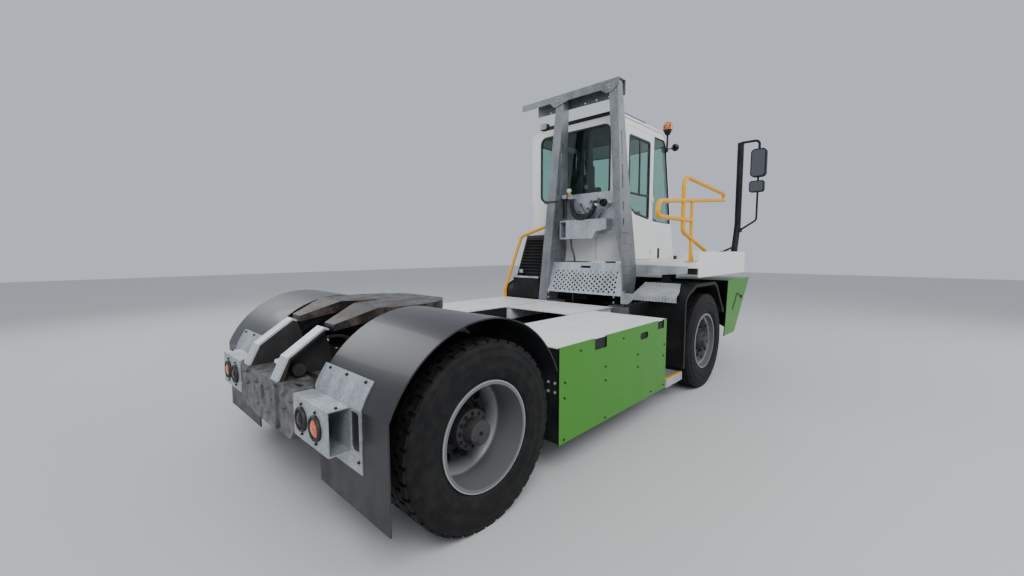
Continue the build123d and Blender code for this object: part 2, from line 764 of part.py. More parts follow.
# Battery boxes beside the rails, with their side covers
COVER_SLOT = (BOX_REAR_X + 1170, DECK_TOP - 91)
COVER_NOTCHES = [(BOX_REAR_X + 410, 160, 86), (BOX_REAR_X + 1427, 126, 76)]
GREEN_PANEL_Y = -860
PANEL_FRONT_X = WHEELBASE - FRONT_ARCH_RADIUS - FRONT_GUARD_SHEET
BOX_TOP = DECK_TOP - SHEET
with BuildPart() as battery_boxes:
    block(BOX_REAR_X + 6, BOX_FRONT_RIGHT - 6, -COVER_INNER_Y, -RAIL_OUTER_Y, BOX_BOTTOM, BOX_TOP)
    block(BOX_REAR_X + 6, BOX_FRONT_LEFT - 6, RAIL_OUTER_Y, COVER_INNER_Y, BOX_BOTTOM, BOX_TOP)
save(battery_boxes, "battery_boxes")
with BuildPart() as battery_covers:
    for side, front in ((-1, BOX_FRONT_RIGHT), (1, BOX_FRONT_LEFT)):
        low = min(side * BODY_HALF_WIDTH, side * COVER_INNER_Y)
        high = low + COVER_WALL
        block(BOX_REAR_X - 4, front + 2, low, high, BOX_BOTTOM - 3, DECK_TOP)
        for x, width, depth in COVER_NOTCHES:
            block(x, x + width, low, high, DECK_TOP - depth, DECK_TOP, mode=Mode.SUBTRACT)
        with BuildSketch(across(high)):
            with Locations(COVER_SLOT):
                SlotOverall(142, 58)
        extrude(amount=COVER_WALL, mode=Mode.SUBTRACT)
    block(BOX_FRONT_RIGHT, PANEL_FRONT_X, GREEN_PANEL_Y, GREEN_PANEL_Y + 10, 330, DECK_TOP + 98)
save(battery_covers, "battery_covers")

DECK_FRONT_X = BOX_FRONT_LEFT - 20
DECK_EDGE_Y = COVER_INNER_Y - FIT
with BuildPart() as deck_sheets:
    block(BOX_REAR_X, BOX_FRONT_RIGHT, -DECK_EDGE_Y, -DECK_INNER_Y, BOX_TOP, DECK_TOP)
    block(BOX_REAR_X, BOX_FRONT_LEFT, DECK_INNER_Y, DECK_EDGE_Y, BOX_TOP, DECK_TOP)
    block(DECK_REAR_X, DECK_FRONT_X, -DECK_INNER_Y + 2, DECK_INNER_Y - 2, BOX_TOP, DECK_TOP)
    for side in (-1, 1):
        low = min(side * (RAIL_INNER_Y + 8), side * (RAIL_OUTER_Y - 8))
        block(DECK_REAR_X + 10, DECK_FRONT_X - 10, low, low + 64, RAIL_TOP, BOX_TOP)
save(deck_sheets, "deck_sheets")

# Lift frame: two arms from the pivot to the trunnion that carries the fifth wheel
arm_run = LIFT_PIVOT[0] - TRUNNION[0]
arm_slope = (TRUNNION[1] - LIFT_PIVOT[1]) / arm_run
arm_half = ARM_DEPTH / 2 * hypot(1, arm_slope)
ARM_KNEES = [350, 1350]
EYE_LUG = 10
LUG_PIN_RADIUS = 18
TRUNNION_RADIUS = 25
TRUNNION_END = 338


def arm_height(x):
    return LIFT_PIVOT[1] + (LIFT_PIVOT[0] - x) * arm_slope


with BuildPart() as lift_frame:
    pivot_x, pivot_z = LIFT_PIVOT
    trunnion_x, trunnion_z = TRUNNION
    rear_knee, front_knee = ARM_KNEES
    eye_x, eye_z = ROD_EYE
    for side in (-1, 1):
        low = min(side * ARM_INNER_Y, side * ARM_OUTER_Y)
        high = low + ARM_OUTER_Y - ARM_INNER_Y
        slab(
            [
                (pivot_x, pivot_z - 50),
                (pivot_x, pivot_z + 50),
                (front_knee, arm_height(front_knee) + arm_half),
                (rear_knee, arm_height(rear_knee) + arm_half - 10),
                (trunnion_x, trunnion_z + 46),
                (trunnion_x, trunnion_z - 50),
                (rear_knee, arm_height(rear_knee) - arm_half),
                (front_knee, arm_height(front_knee) - arm_half),
            ],
            low,
            high,
        )
        disc(*TRUNNION, 50, low, high)
        for lug_low in (low + 4, high - 4 - EYE_LUG):
            slab(
                [
                    (eye_x - 60, arm_height(eye_x) - 40),
                    (eye_x - 30, eye_z - 28),
                    (eye_x + 30, eye_z - 28),
                    (eye_x + 60, arm_height(eye_x) - 40),
                ],
                lug_low,
                lug_low + EYE_LUG,
            )
        disc(*ROD_EYE, LUG_PIN_RADIUS, low + 4, high - 4)
    disc(*LIFT_PIVOT, 58, -ARM_OUTER_Y, ARM_OUTER_Y)
    disc(1250, arm_height(1250), 45, -ARM_OUTER_Y + 5, ARM_OUTER_Y - 5)
    disc(*LIFT_PIVOT, LIFT_PIN_RADIUS + RUNNING_FIT, -ARM_OUTER_Y, ARM_OUTER_Y, mode=Mode.SUBTRACT)
    disc(*TRUNNION, TRUNNION_RADIUS, -TRUNNION_END, TRUNNION_END)
save(lift_frame, "lift_frame")

# Fifth wheel: crowned plate with two horns, the throat and the kingpin bore, a skirt all
# round its underside, ribs inside the skirt, and two ears that hang on the trunnion
HORN_REAR_X = -410
HORN_TIP_X = -430
HORN_OUTER_Y = 325
HORN_INNER_Y = 195
THROAT_HALF = 34
THROAT_REAR_X = KINGPIN_X - 60
SHOULDER_X = 110
PLATE_SKIRT = 28
BOSS_RADIUS = 75
RIB = 16
EAR_Y = 300
EAR_WALL = 30
EAR_RADIUS = 46
with BuildPart() as plate_pocket:
    with BuildSketch(PLAN.offset(PLATE_TOP - 250)):
        with Locations((trunnion_x, 0)):
            Circle(PLATE_HALF_WIDTH - PLATE_SKIRT)
        inner_y = HORN_OUTER_Y - PLATE_SKIRT + 6
        side_y = PLATE_HALF_WIDTH - PLATE_SKIRT - 10
        with BuildLine():
            Polyline(
                (trunnion_x - SHOULDER_X, side_y),
                (HORN_REAR_X + PLATE_SKIRT, inner_y),
                (HORN_REAR_X + PLATE_SKIRT, -inner_y),
                (trunnion_x - SHOULDER_X, -side_y),
                close=True,
            )
        make_face()
        for side in (-1, 1):
            with BuildLine():
                Polyline(
                    (trunnion_x - SHOULDER_X, side * side_y),
                    (trunnion_x - SHOULDER_X, side * PLATE_HALF_WIDTH),
                    (HORN_REAR_X, side * PLATE_HALF_WIDTH),
                    (HORN_REAR_X, side * inner_y),
                    close=True,
                )
            make_face(mode=Mode.SUBTRACT)
        with BuildLine():
            Polyline(
                (HORN_REAR_X, HORN_INNER_Y + PLATE_SKIRT),
                (THROAT_REAR_X, THROAT_HALF + PLATE_SKIRT),
                (KINGPIN_X, THROAT_HALF + PLATE_SKIRT),
                (KINGPIN_X, -THROAT_HALF - PLATE_SKIRT),
                (THROAT_REAR_X, -THROAT_HALF - PLATE_SKIRT),
                (HORN_REAR_X, -HORN_INNER_Y - PLATE_SKIRT),
                close=True,
            )
        make_face(mode=Mode.SUBTRACT)
        with Locations((KINGPIN_X, 0)):
            Circle(BOSS_RADIUS, mode=Mode.SUBTRACT)
    extrude(amount=250)
    with BuildSketch(across(PLATE_HALF_WIDTH)):
        with BuildLine():
            Polyline(
                (HORN_TIP_X, PLATE_TOP - 250),
                (HORN_TIP_X, PLATE_TOP - 95 - PLATE_WALL),
                (-170, PLATE_TOP - PLATE_WALL),
                (600, PLATE_TOP - PLATE_WALL),
                (600, PLATE_TOP - 250),
                close=True,
            )
        make_face()
    extrude(amount=2 * PLATE_HALF_WIDTH, mode=Mode.INTERSECT)
with BuildPart() as fifth_wheel:
    with BuildSketch(PLAN.offset(PLATE_TOP - 200)):
        with BuildLine():
            ThreePointArc(
                (trunnion_x + 10, -PLATE_HALF_WIDTH),
                (trunnion_x + PLATE_HALF_WIDTH, 0),
                (trunnion_x + 10, PLATE_HALF_WIDTH),
            )
            Polyline(
                (trunnion_x + 10, PLATE_HALF_WIDTH),
                (trunnion_x - SHOULDER_X, PLATE_HALF_WIDTH - 8),
                (HORN_REAR_X, HORN_OUTER_Y),
                (HORN_REAR_X, HORN_INNER_Y),
                (THROAT_REAR_X, THROAT_HALF),
                (KINGPIN_X, KINGPIN_BORE),
                (KINGPIN_X, -KINGPIN_BORE),
                (THROAT_REAR_X, -THROAT_HALF),
                (HORN_REAR_X, -HORN_INNER_Y),
                (HORN_REAR_X, -HORN_OUTER_Y),
                (trunnion_x - SHOULDER_X, -PLATE_HALF_WIDTH + 8),
                (trunnion_x + 10, -PLATE_HALF_WIDTH),
            )
        make_face()
        with Locations((KINGPIN_X, 0)):
            Circle(KINGPIN_BORE, mode=Mode.SUBTRACT)
    extrude(amount=250)
    with BuildSketch(across(PLATE_HALF_WIDTH)):
        with BuildLine():
            Polyline(
                (HORN_TIP_X, PLATE_TOP - 95),
                (-170, PLATE_TOP),
                (470, PLATE_TOP),
                (540, PLATE_TOP - 18),
                (540, PLATE_TOP - PLATE_DEPTH + 15),
                (500, PLATE_TOP - PLATE_DEPTH),
                (-150, PLATE_TOP - PLATE_DEPTH),
                (HORN_TIP_X, PLATE_TOP - 132),
                close=True,
            )
        make_face()
    extrude(amount=2 * PLATE_HALF_WIDTH, mode=Mode.INTERSECT)
    add(plate_pocket.part, mode=Mode.SUBTRACT)
    rib_low = PLATE_TOP - PLATE_DEPTH + 10
    rib_high = PLATE_TOP - PLATE_WALL
    for y in (-150, 150):
        block(-60, trunnion_x + 410, y - RIB / 2, y + RIB / 2, rib_low, rib_high)
    for x in (trunnion_x + 170, trunnion_x + 320):
        half_chord = sqrt((PLATE_HALF_WIDTH - 10) ** 2 - (x - trunnion_x) ** 2)
        block(x - RIB / 2, x + RIB / 2, -half_chord + 10, half_chord - 10, rib_low, rib_high)
    for side in (-1, 1):
        low = min(side * EAR_Y, side * (EAR_Y + EAR_WALL))
        slab(
            [
                (trunnion_x - 85, rib_high),
                (trunnion_x - EAR_RADIUS, trunnion_z),
                (trunnion_x + EAR_RADIUS, trunnion_z),
                (trunnion_x + 85, rib_high),
            ],
            low,
            low + EAR_WALL,
        )
        disc(*TRUNNION, EAR_RADIUS, low, low + EAR_WALL)
        ear_hole = TRUNNION_RADIUS + RUNNING_FIT
        disc(*TRUNNION, ear_hole, low, low + EAR_WALL, mode=Mode.SUBTRACT)
save(fifth_wheel, "fifth_wheel")

# Lift cylinders: barrel on the frame's foot pin, rod up to the arm
lean = degrees(atan2(ROD_EYE[1] - BARREL_FOOT[1], ROD_EYE[0] - BARREL_FOOT[0]))
closed = hypot(ROD_EYE[0] - BARREL_FOOT[0], ROD_EYE[1] - BARREL_FOOT[1])


def cylinder_plane(distance):
    """Plane across the lift cylinder, this far from its foot pin along its axis."""
    run = (cos(radians(lean)), 0, sin(radians(lean)))
    foot_x, foot_z = BARREL_FOOT
    start = at(foot_x + run[0] * distance, 0, foot_z + run[2] * distance)
    return Plane(origin=start, x_dir=(0, 1, 0), z_dir=run)


def cylinder_bar(y, radius, start, length, mode=Mode.ADD):
    """A round bar or bore on a lift cylinder's own axis."""
    with BuildSketch(cylinder_plane(start)) as round_face:
        with Locations((y, 0)):
            Circle(radius)
    extrude(round_face.sketch, amount=length, mode=mode)


with BuildPart() as lift_barrels:
    for side in (-1, 1):
        y = side * CYLINDER_Y
        cylinder_bar(y, BARREL_RADIUS, 38, BARREL_LENGTH - 38)
        disc(*BARREL_FOOT, 45, y - 40, y + 40)
        foot_hole = FOOT_PIN_RADIUS + RUNNING_FIT
        disc(*BARREL_FOOT, foot_hole, y - 40, y + 40, mode=Mode.SUBTRACT)
        cylinder_bar(y, ROD_RADIUS + RUNNING_FIT, 42, BARREL_LENGTH, mode=Mode.SUBTRACT)
save(lift_barrels, "lift_barrels")
with BuildPart() as lift_rods:
    for side in (-1, 1):
        y = side * CYLINDER_Y
        cylinder_bar(y, ROD_RADIUS, 45, closed - 95)
        with BuildSketch(cylinder_plane(closed - 52)):
            with Locations((y, 0)):
                Rectangle(28, 46)
        extrude(amount=22)
        disc(*ROD_EYE, 38, y - 14, y + 14)
        disc(*ROD_EYE, 26, y - 14, y + 14, mode=Mode.SUBTRACT)
save(lift_rods, "lift_rods")

# Headboard posts: folded channels open to the front, the right one cut off inside at its foot
LEFT_POST = ((632, 406), (500, 295))
RIGHT_POST = ((555, 406), (496, 295))
POST_SIDE = ahead_of(
    POST_REAR_X,
    [
        (0, POST_BASE),
        (POST_LEAN, POST_TOP),
        (160, POST_TOP),
        (225, 2430),
        (275, 1940),
        (330, 1450),
        (330, 1200),
        (215, POST_BASE),
    ],
)
POST_CHANNEL = [
    (POST_REAR_X + POST_WALL, POST_BASE - 1),
    (POST_REAR_X + POST_LEAN + POST_WALL, POST_TOP + 1),
    (POST_REAR_X + 400, POST_TOP + 1),
    (POST_REAR_X + 400, POST_BASE - 1),
]
POST_SLOTS = [(2550, 2800), (2180, 2445), (1940, 2040), (1774, 1854)]
POST_HOLES = [1694, 1584, 1493, 1327, 1226]
CUT_TOP = 1700
CUT_FOOT = 1380


def post_edge(edge, z):
    """Distance from the middle plane of a post's outer or inner side at this height."""
    return slope(z, POST_BASE, POST_TOP, *edge)


def post_front(edges, side, wall_size, low, high):
    """Cross-section points of a post, shrunk by this wall, between these heights."""
    outer, inner = edges
    return [
        (side * (post_edge(outer, low) - wall_size), low),
        (side * (post_edge(outer, high) - wall_size), high),
        (side * (post_edge(inner, high) + wall_size), high),
        (side * (post_edge(inner, low) + wall_size), low),
    ]


def post_solid(edges, side):
    """One headboard post as a folded channel with its slots and holes."""
    with BuildPart() as channel:
        slab(POST_SIDE, -700, 700)
        front = post_front(edges, side, 0, POST_BASE, POST_TOP)
        wall(front, POST_REAR_X - 10, POST_REAR_X + 500, mode=Mode.INTERSECT)
        with BuildPart(mode=Mode.SUBTRACT):
            slab(POST_CHANNEL, -700, 700)
            inside = post_front(edges, side, POST_WALL, POST_BASE - 1, POST_TOP + 1)
            wall(inside, POST_REAR_X - 10, POST_REAR_X + 500, mode=Mode.INTERSECT)
        if side < 0:
            outer, inner = edges
            wall(
                [
                    (-post_edge(inner, CUT_TOP) + 1, CUT_TOP),
                    (-post_edge(outer, CUT_FOOT) + POST_WALL, CUT_FOOT),
                    (-post_edge(outer, POST_BASE) + POST_WALL, POST_BASE),
                    (-post_edge(inner, POST_BASE) + 1, POST_BASE - 1),
                ],
                POST_REAR_X - 10,
                POST_REAR_X + 500,
                mode=Mode.SUBTRACT,
            )
        with BuildSketch(across(700)):
            for low, high in POST_SLOTS:
                middle = (low + high) / 2
                edge_x = slope(middle, POST_BASE, POST_TOP, POST_REAR_X, POST_REAR_X + POST_LEAN)
                with Locations((edge_x + 55, middle)):
                    SlotOverall(high - low, 26, rotation=90)
            for z in POST_HOLES:
                edge_x = slope(z, POST_BASE, POST_TOP, POST_REAR_X, POST_REAR_X + POST_LEAN)
                with Locations(*[(edge_x + 30 + 45 * column, z) for column in range(4)]):
                    Circle(9)
        extrude(amount=1400, mode=Mode.SUBTRACT)
    return channel.part


with BuildPart() as headboard_posts:
    add(post_solid(LEFT_POST, 1))
    add(post_solid(RIGHT_POST, -1))
    for side in (-1, 1):
        low = min(side * RAIL_INNER_Y, side * 620)
        high = max(side * RAIL_INNER_Y, side * 620)
        block(POST_REAR_X + 10, POST_REAR_X + 200, low, high, RAIL_TOP, POST_BASE)
save(headboard_posts, "headboard_posts")

# Beam across the posts: an inverted channel whose rear web is cut to a wavy lower edge
BEAM_TOP = POST_TOP + BEAM_SHEET
BEAM_REAR_X = POST_REAR_X + POST_LEAN - 12
BEAM_DEPTH = 147
BEAM_WAVE = [
    (BEAM_LEFT_Y, 64),
    (500, 64),
    (440, 123),
    (400, 123),
    (235, 80),
    (-200, 80),
    (-270, 126),
    (-330, 126),
    (BEAM_RIGHT_Y, 64),
]
FLANGE_HOLES = [600, 90, -65, -230]
with BuildPart() as headboard_beam:
    wave = [(y, POST_TOP - drop) for y, drop in BEAM_WAVE]
    wall([(BEAM_RIGHT_Y, BEAM_TOP), (BEAM_LEFT_Y, BEAM_TOP), *wave], BEAM_REAR_X, BEAM_REAR_X + BEAM_SHEET)
    block(BEAM_REAR_X, BEAM_REAR_X + BEAM_DEPTH, BEAM_RIGHT_Y, BEAM_LEFT_Y, POST_TOP, BEAM_TOP)
    lip_x = BEAM_REAR_X + BEAM_DEPTH - BEAM_SHEET
    wall(
        [
            (BEAM_RIGHT_Y, BEAM_TOP),
            (800, BEAM_TOP),
            (800, POST_TOP - 135),
            (BEAM_RIGHT_Y, POST_TOP - 148),
        ],
        lip_x,
        lip_x + BEAM_SHEET,
    )
    with BuildSketch(section(lip_x)):
        with Locations(*[(y, POST_TOP - 118) for y in FLANGE_HOLES]):
            Circle(10)
    extrude(amount=BEAM_SHEET, mode=Mode.SUBTRACT)
save(headboard_beam, "headboard_beam")

# Perforated screen between the posts
SCREEN_BASE = (POST_REAR_X + 1, 1005)
SCREEN_HEAD = (POST_REAR_X + 100, 1365)
SCREEN_SHEET = 5
SCREEN_HOLES = (67, 27, 13, 9)
with BuildPart() as headboard_screen:
    base_x, base_z = SCREEN_BASE
    head_x, head_z = SCREEN_HEAD
    slab(
        [SCREEN_BASE, SCREEN_HEAD, (head_x + SCREEN_SHEET, head_z), (base_x + SCREEN_SHEET, base_z)],
        -600,
        600,
    )
    left_low = post_edge(LEFT_POST[1], base_z) - FIT
    left_high = post_edge(LEFT_POST[1], head_z) - FIT
    right_low = -post_edge(RIGHT_POST[0], base_z) + POST_WALL + FIT
    right_high = -post_edge(RIGHT_POST[0], head_z) + POST_WALL + FIT
    wall(
        [(right_low, base_z), (left_low, base_z), (left_high, head_z), (right_high, head_z)],
        base_x - 10,
        head_x + 50,
        mode=Mode.INTERSECT,
    )
    pitch_y, pitch_z, columns, rows = SCREEN_HOLES
    with BuildSketch(section(base_x - 10)):
        for row in range(rows):
            shift = pitch_y / 2 if row % 2 else 0
            for column in range(columns):
                hole_y = (column - (columns - 1) / 2) * pitch_y - 35 + shift
                with Locations((hole_y, base_z + 38 + row * pitch_z)):
                    RegularPolygon(13, 8)
        with Locations((-15, head_z - 51)):
            SlotOverall(139, 26)
    extrude(amount=200, mode=Mode.SUBTRACT)
save(headboard_screen, "headboard_screen")

# Bracket between the posts: back plate, open box in front of it, and the coupling glands
PLATE_X = POST_REAR_X + 219
PLATE_SHEET = 6
PLATE_LOW = 1700
PLATE_HIGH = 2060
BOX_FACE_X = POST_REAR_X + 95
BRACKET_BOX = [(375, 1870), (375, 1645), (-89, 1645), (-129, 1725), (-275, 1752), (-275, 1870)]
COIL_X = POST_REAR_X + 165
COIL_RADIUS = 28
COIL_LEFT = [(345, 2140), (345, 1900)]
COIL_MIDDLE = [(250, 2130), (250, 1960), (90, 1900), (-90, 1960), (-90, 2085)]
COIL_RADII = [60, 90, 60]
GLANDS = [(345, 2140), (250, 2130), (-90, 2085)]
HOSE_RADIUS = 12
HOSE_RADII = [60, 60, 80, 80]
HOSE_ROUTE = [
    (145, 240, 1644.5),
    (145, 240, 1560),
    (132, 174, 1440),
    (132, 174, 1300),
    (105, 174, 1150),
    (105, 174, 728.4),
]
with BuildPart() as coupling_bracket:
    left = LEFT_POST[1]
    right = RIGHT_POST[1]
    wall(
        [
            (-post_edge(right, PLATE_LOW) + FIT, PLATE_LOW),
            (post_edge(left, PLATE_LOW) - FIT, PLATE_LOW),
            (post_edge(left, PLATE_HIGH) - FIT, PLATE_HIGH),
            (-post_edge(right, PLATE_HIGH) + FIT, PLATE_HIGH),
        ],
        PLATE_X,
        PLATE_X + PLATE_SHEET,
    )
    block(PLATE_X, PLATE_X + PLATE_SHEET, -250, 380, PLATE_HIGH - 1, 2190)
    wall(BRACKET_BOX, BOX_FACE_X, PLATE_X)
    with BuildSketch(section(BOX_FACE_X + PLATE_SHEET)):
        with BuildLine():
            Polyline(*BRACKET_BOX, close=True)
        make_face()
        offset(amount=-PLATE_SHEET, kind=Kind.INTERSECTION, mode=Mode.REPLACE)
    extrude(amount=PLATE_X - BOX_FACE_X, mode=Mode.SUBTRACT)
    block(PLATE_X - 1, PLATE_X + PLATE_SHEET, -300, 380, PLATE_LOW, PLATE_LOW + 180)
    block(BOX_FACE_X, BOX_FACE_X + PLATE_SHEET, 285, 363, 1662, 1852, mode=Mode.SUBTRACT)
    for y, z in GLANDS:
        block(COIL_X - 30, PLATE_X, y - 32, y + 32, z + FIT, z + 45)
    disc_y = -215
    with BuildSketch(section(PLATE_X - 80)):
        with Locations((disc_y, 2050)):
            Circle(52)
    extrude(amount=80)
save(coupling_bracket, "coupling_bracket")

with BuildPart() as air_lines:
    tube([at(COIL_X, y, z) for y, z in COIL_LEFT], [], COIL_RADIUS)
    tube([at(COIL_X, y, z) for y, z in COIL_MIDDLE], COIL_RADII, COIL_RADIUS)
    tube([at(POST_REAR_X + x, y, z) for x, y, z in HOSE_ROUTE], HOSE_RADII, HOSE_RADIUS)
save(air_lines, "air_lines")
print("coil bend radii", COIL_RADII, "hose bend radii", HOSE_RADII)

# Steps on the right side: a box step below, a bent tread above it and the edge of the platform
STEP_X = POST_REAR_X - 35
TREAD_INNER_Y = 690
LOWER_STEP = (BOX_FRONT_RIGHT + 60, STEP_X + 50)
with BuildPart() as access_steps:
    step_low, step_high = LOWER_STEP
    block(step_low, step_high, -1210, -900, 223, 300)
    block(step_low + 6, step_high - 6, -1204, -906, 217, 294, mode=Mode.SUBTRACT)
    block(BOX_FRONT_RIGHT - 6 + FIT, step_low + 2, -1150, -1000, 255, 290)
    slab(
        ahead_of(
            STEP_X,
            [(0, 985), (0, 1052), (280, 1158), (280, 1152), (6, 1047), (6, 985)],
        ),
        -1150,
        -TREAD_INNER_Y,
    )
    corner = outline(
        PLAN.offset(900),
        ahead_of(STEP_X, [(60, -1151), (281, -1151), (281, -1080)]),
    )
    extrude(corner, amount=400, mode=Mode.SUBTRACT)
    flange_y = post_edge(RIGHT_POST[0], 1046)
    wall(
        [
            (-TREAD_INNER_Y, 985),
            (-TREAD_INNER_Y, 1046),
            (-flange_y, 1046),
            (-flange_y, 930),
            (-TREAD_INNER_Y + 60, 930),
        ],
        STEP_X,
        STEP_X + 6,
    )
    side_y = post_edge(RIGHT_POST[0], 985) + FIT
    slab(ahead_of(STEP_X, [(0, 985), (0, 1046), (60, 1066), (60, 1000)]), -562, -side_y)
    wall(
        [(-483, 1215), (-1109, 1259), (-1109, 1335), (-483, 1347)],
        CAB_REAR_X - 6,
        CAB_REAR_X - FIT,
    )
save(access_steps, "access_steps")

# Platforms beside the cab, with their white side plates and the apron at the front
PLATFORM_INNER_RIGHT = 350
PLATFORM_INNER_LEFT = 1050
SIDE_PLATE_X = CAB_REAR_X + 50
with BuildPart() as platform:
    for side, inner in ((-1, PLATFORM_INNER_RIGHT), (1, PLATFORM_INNER_LEFT)):
        low = min(side * inner, side * PLATFORM_SIDE_Y)
        high = max(side * inner, side * PLATFORM_SIDE_Y)
        block(CAB_REAR_X, PLATFORM_FRONT_X, low, high, PLATFORM_UNDER, PLATFORM_TOP)
        block(
            CAB_REAR_X + PLATFORM_SHEET,
            PLATFORM_FRONT_X - PLATFORM_SHEET,
            low + PLATFORM_SHEET,
            high - PLATFORM_SHEET,
            PLATFORM_UNDER,
            PLATFORM_TOP - PLATFORM_SHEET,
            mode=Mode.SUBTRACT,
        )
        edge = min(side * PLATFORM_SIDE_Y, side * (PLATFORM_SIDE_Y + PLATFORM_SHEET))
        block(SIDE_PLATE_X, PLATFORM_FRONT_X, edge, edge + PLATFORM_SHEET, 1220, 1490)
    wall(
        [(-PLATFORM_SIDE_Y, 1220), (-345, 1220), (-345, 1560), (-400, 1510), (-PLATFORM_SIDE_Y, 1500)],
        PLATFORM_FRONT_X - PLATFORM_SHEET,
        PLATFORM_FRONT_X,
    )
save(platform, "platform")

# Front mudguards: squared arches with an outer lip
GUARD_HALF = FRONT_GUARD_SHEET / 2
GUARD_TOP = 1140
GUARD_LIP = 34
GUARD_OUTER_Y = 1222
GUARD_PATH = [
    (WHEELBASE - FRONT_ARCH_RADIUS - GUARD_HALF, 330),
    (WHEELBASE - FRONT_ARCH_RADIUS - GUARD_HALF, GUARD_TOP - 105),
    (WHEELBASE - 395, GUARD_TOP - 20),
    (WHEELBASE - 340, GUARD_TOP),
    (WHEELBASE + 260, GUARD_TOP),
    (WHEELBASE + 560, 775),
]
with BuildPart() as front_mudguards:
    for y, width, depth in (
        (-FRONT_GUARD_INNER_Y, FRONT_GUARD_SHEET, GUARD_OUTER_Y - FRONT_GUARD_INNER_Y),
        (-GUARD_OUTER_Y + 8, GUARD_LIP, 8),
    ):
        with BuildSketch(across(y)) as strip:
            with BuildLine() as path:
                FilletPolyline(*GUARD_PATH, radius=[130, 40, 40, 180])
            trace(line_width=width)
        extrude(strip.sketch, amount=depth)
    block(PORTALS[0] + 5, PORTALS[0] + 55, -900, -820, GUARD_TOP, PORTAL_BOTTOM)
    both_sides()
save(front_mudguards, "front_mudguards")

# Front bumper: folded side panels and front, with bevelled corners
PANEL_TOP = 1145
PANEL_BOTTOM = 480
BUMPER_REAR_X = WHEELBASE + 580
BEVEL_X = WHEELBASE + 1060
BEVEL_Z = 545


def bumper_block(inset):
    """Solid of the bumper's outline, shrunk by this much on the faces that show."""
    width = BODY_HALF_WIDTH - inset
    front = BUMPER_FRONT_X - inset
    below = 20 if inset else 0
    with BuildPart() as solid:
        block(BUMPER_REAR_X, front, -width, width, PANEL_BOTTOM - below, PANEL_TOP - inset)
        arch = ahead_of(BUMPER_REAR_X, [(-10, 400), (45, 565), (110, 1200), (-20, 1200)])
        slab(arch, -1300, 1300, mode=Mode.SUBTRACT)
        for side in (-1, 1):
            top = Vector(*at(front - 35, side * width, PANEL_TOP))
            bottom = Vector(*at(BEVEL_X - inset, side * width, BEVEL_Z))
            nose = Vector(*at(front, side * (width - 380), BEVEL_Z))
            normal = (bottom - top).cross(nose - top)
            if normal.X < 0:
                normal = normal * -1
            split(bisect_by=Plane(origin=top, z_dir=normal), keep=Keep.BOTTOM)
    return solid.part


with BuildPart() as front_bumper:
    add(bumper_block(0))
    add(bumper_block(BUMPER_SHEET), mode=Mode.SUBTRACT)
    for side in (-1, 1):
        low = min(side * RAIL_INNER_Y, side * RAIL_OUTER_Y)
        block(
            PORTALS[1] - 2,
            PORTALS[1] + PORTAL_DEPTH + 2,
            low - 2,
            low + PORTAL_WIDTH + 2,
            PANEL_TOP - 45,
            PANEL_TOP + 55,
            mode=Mode.SUBTRACT,
        )
save(front_bumper, "front_bumper")

# Louvred cabinet behind the cab on the left
CABINET_Y = (640, 1080)
LOUVRES = 12
with BuildPart() as louvre_cabinet:
    slab(
        ahead_of(
            POST_REAR_X,
            [
                (-25, DECK_TOP),
                (-25, DECK_TOP + 8),
                (10, DECK_TOP + 8),
                (10, 1150),
                (90, 1190),
                (295, 1715),
                (335, 1715),
                (335, 1180),
                (60, 1160),
                (22, 1140),
                (22, DECK_TOP),
            ],
        ),
        *CABINET_Y,
    )
    for count in range(LOUVRES):
        z = 1205 + count * 40
        x = slope(z, 1190, 1715, POST_REAR_X + 90, POST_REAR_X + 295)
        slab([(x + 2, z), (x - 20, z + 4), (x + 14, z + 32)], CABINET_Y[0] + 20, CABINET_Y[1] - 20)
    outer = LEFT_POST[0]
    wall(
        [
            (post_edge(outer, 1210) + FIT, 1210),
            (CABINET_Y[0] + 10, 1210),
            (CABINET_Y[0] + 10, 1290),
            (post_edge(outer, 1290) + FIT, 1290),
        ],
        POST_REAR_X + 125,
        POST_REAR_X + 300,
    )
save(louvre_cabinet, "louvre_cabinet")

# Yellow handrails: one bent loop beside the door, its flat post, and one up to the left post
HANDRAIL_Y = -1120
HANDRAIL_ROUTE = [
    (470, PLATFORM_TOP, 0),
    (470, 1500, 60),
    (-200, 1690, 60),
    (-200, 2180, 80),
    (-120, 2240, 80),
    (1045, 2180, 22),
    (1030, 2108, 22),
    (-770, 1950, 70),
    (-800, 1812, 48),
    (20, 1812, 0),
]
LEFT_RAIL_ROUTE = [(-400, 1170, DECK_TOP), (-400, 1170, 1000), (-140, 1110, 1700), (-210, 500, 1850)]
with BuildPart() as handrails:
    tube(
        [at(CAB_REAR_X + x, HANDRAIL_Y, z) for x, z, r in HANDRAIL_ROUTE],
        [r for x, z, r in HANDRAIL_ROUTE[1:-1]],
        RAIL_TUBE,
    )
    block(CAB_REAR_X + 5, CAB_REAR_X + 50, HANDRAIL_Y - 10, HANDRAIL_Y + 10, PLATFORM_TOP, 2030)
    block(
        CAB_REAR_X - 10,
        CAB_REAR_X + 110,
        HANDRAIL_Y - 40,
        HANDRAIL_Y + 40,
        PLATFORM_TOP,
        PLATFORM_TOP + 10,
    )
    tube([at(CAB_REAR_X + x, y, z) for x, y, z in LEFT_RAIL_ROUTE], [70, 70], RAIL_TUBE)
    outer = LEFT_POST[0]
    wall(
        [
            (0, 1750),
            (post_edge(outer, 1750) + FIT, 1750),
            (post_edge(outer, 1950) + FIT, 1950),
            (0, 1950),
        ],
        POST_REAR_X,
        POST_REAR_X + 300,
        mode=Mode.SUBTRACT,
    )
save(handrails, "handrails")

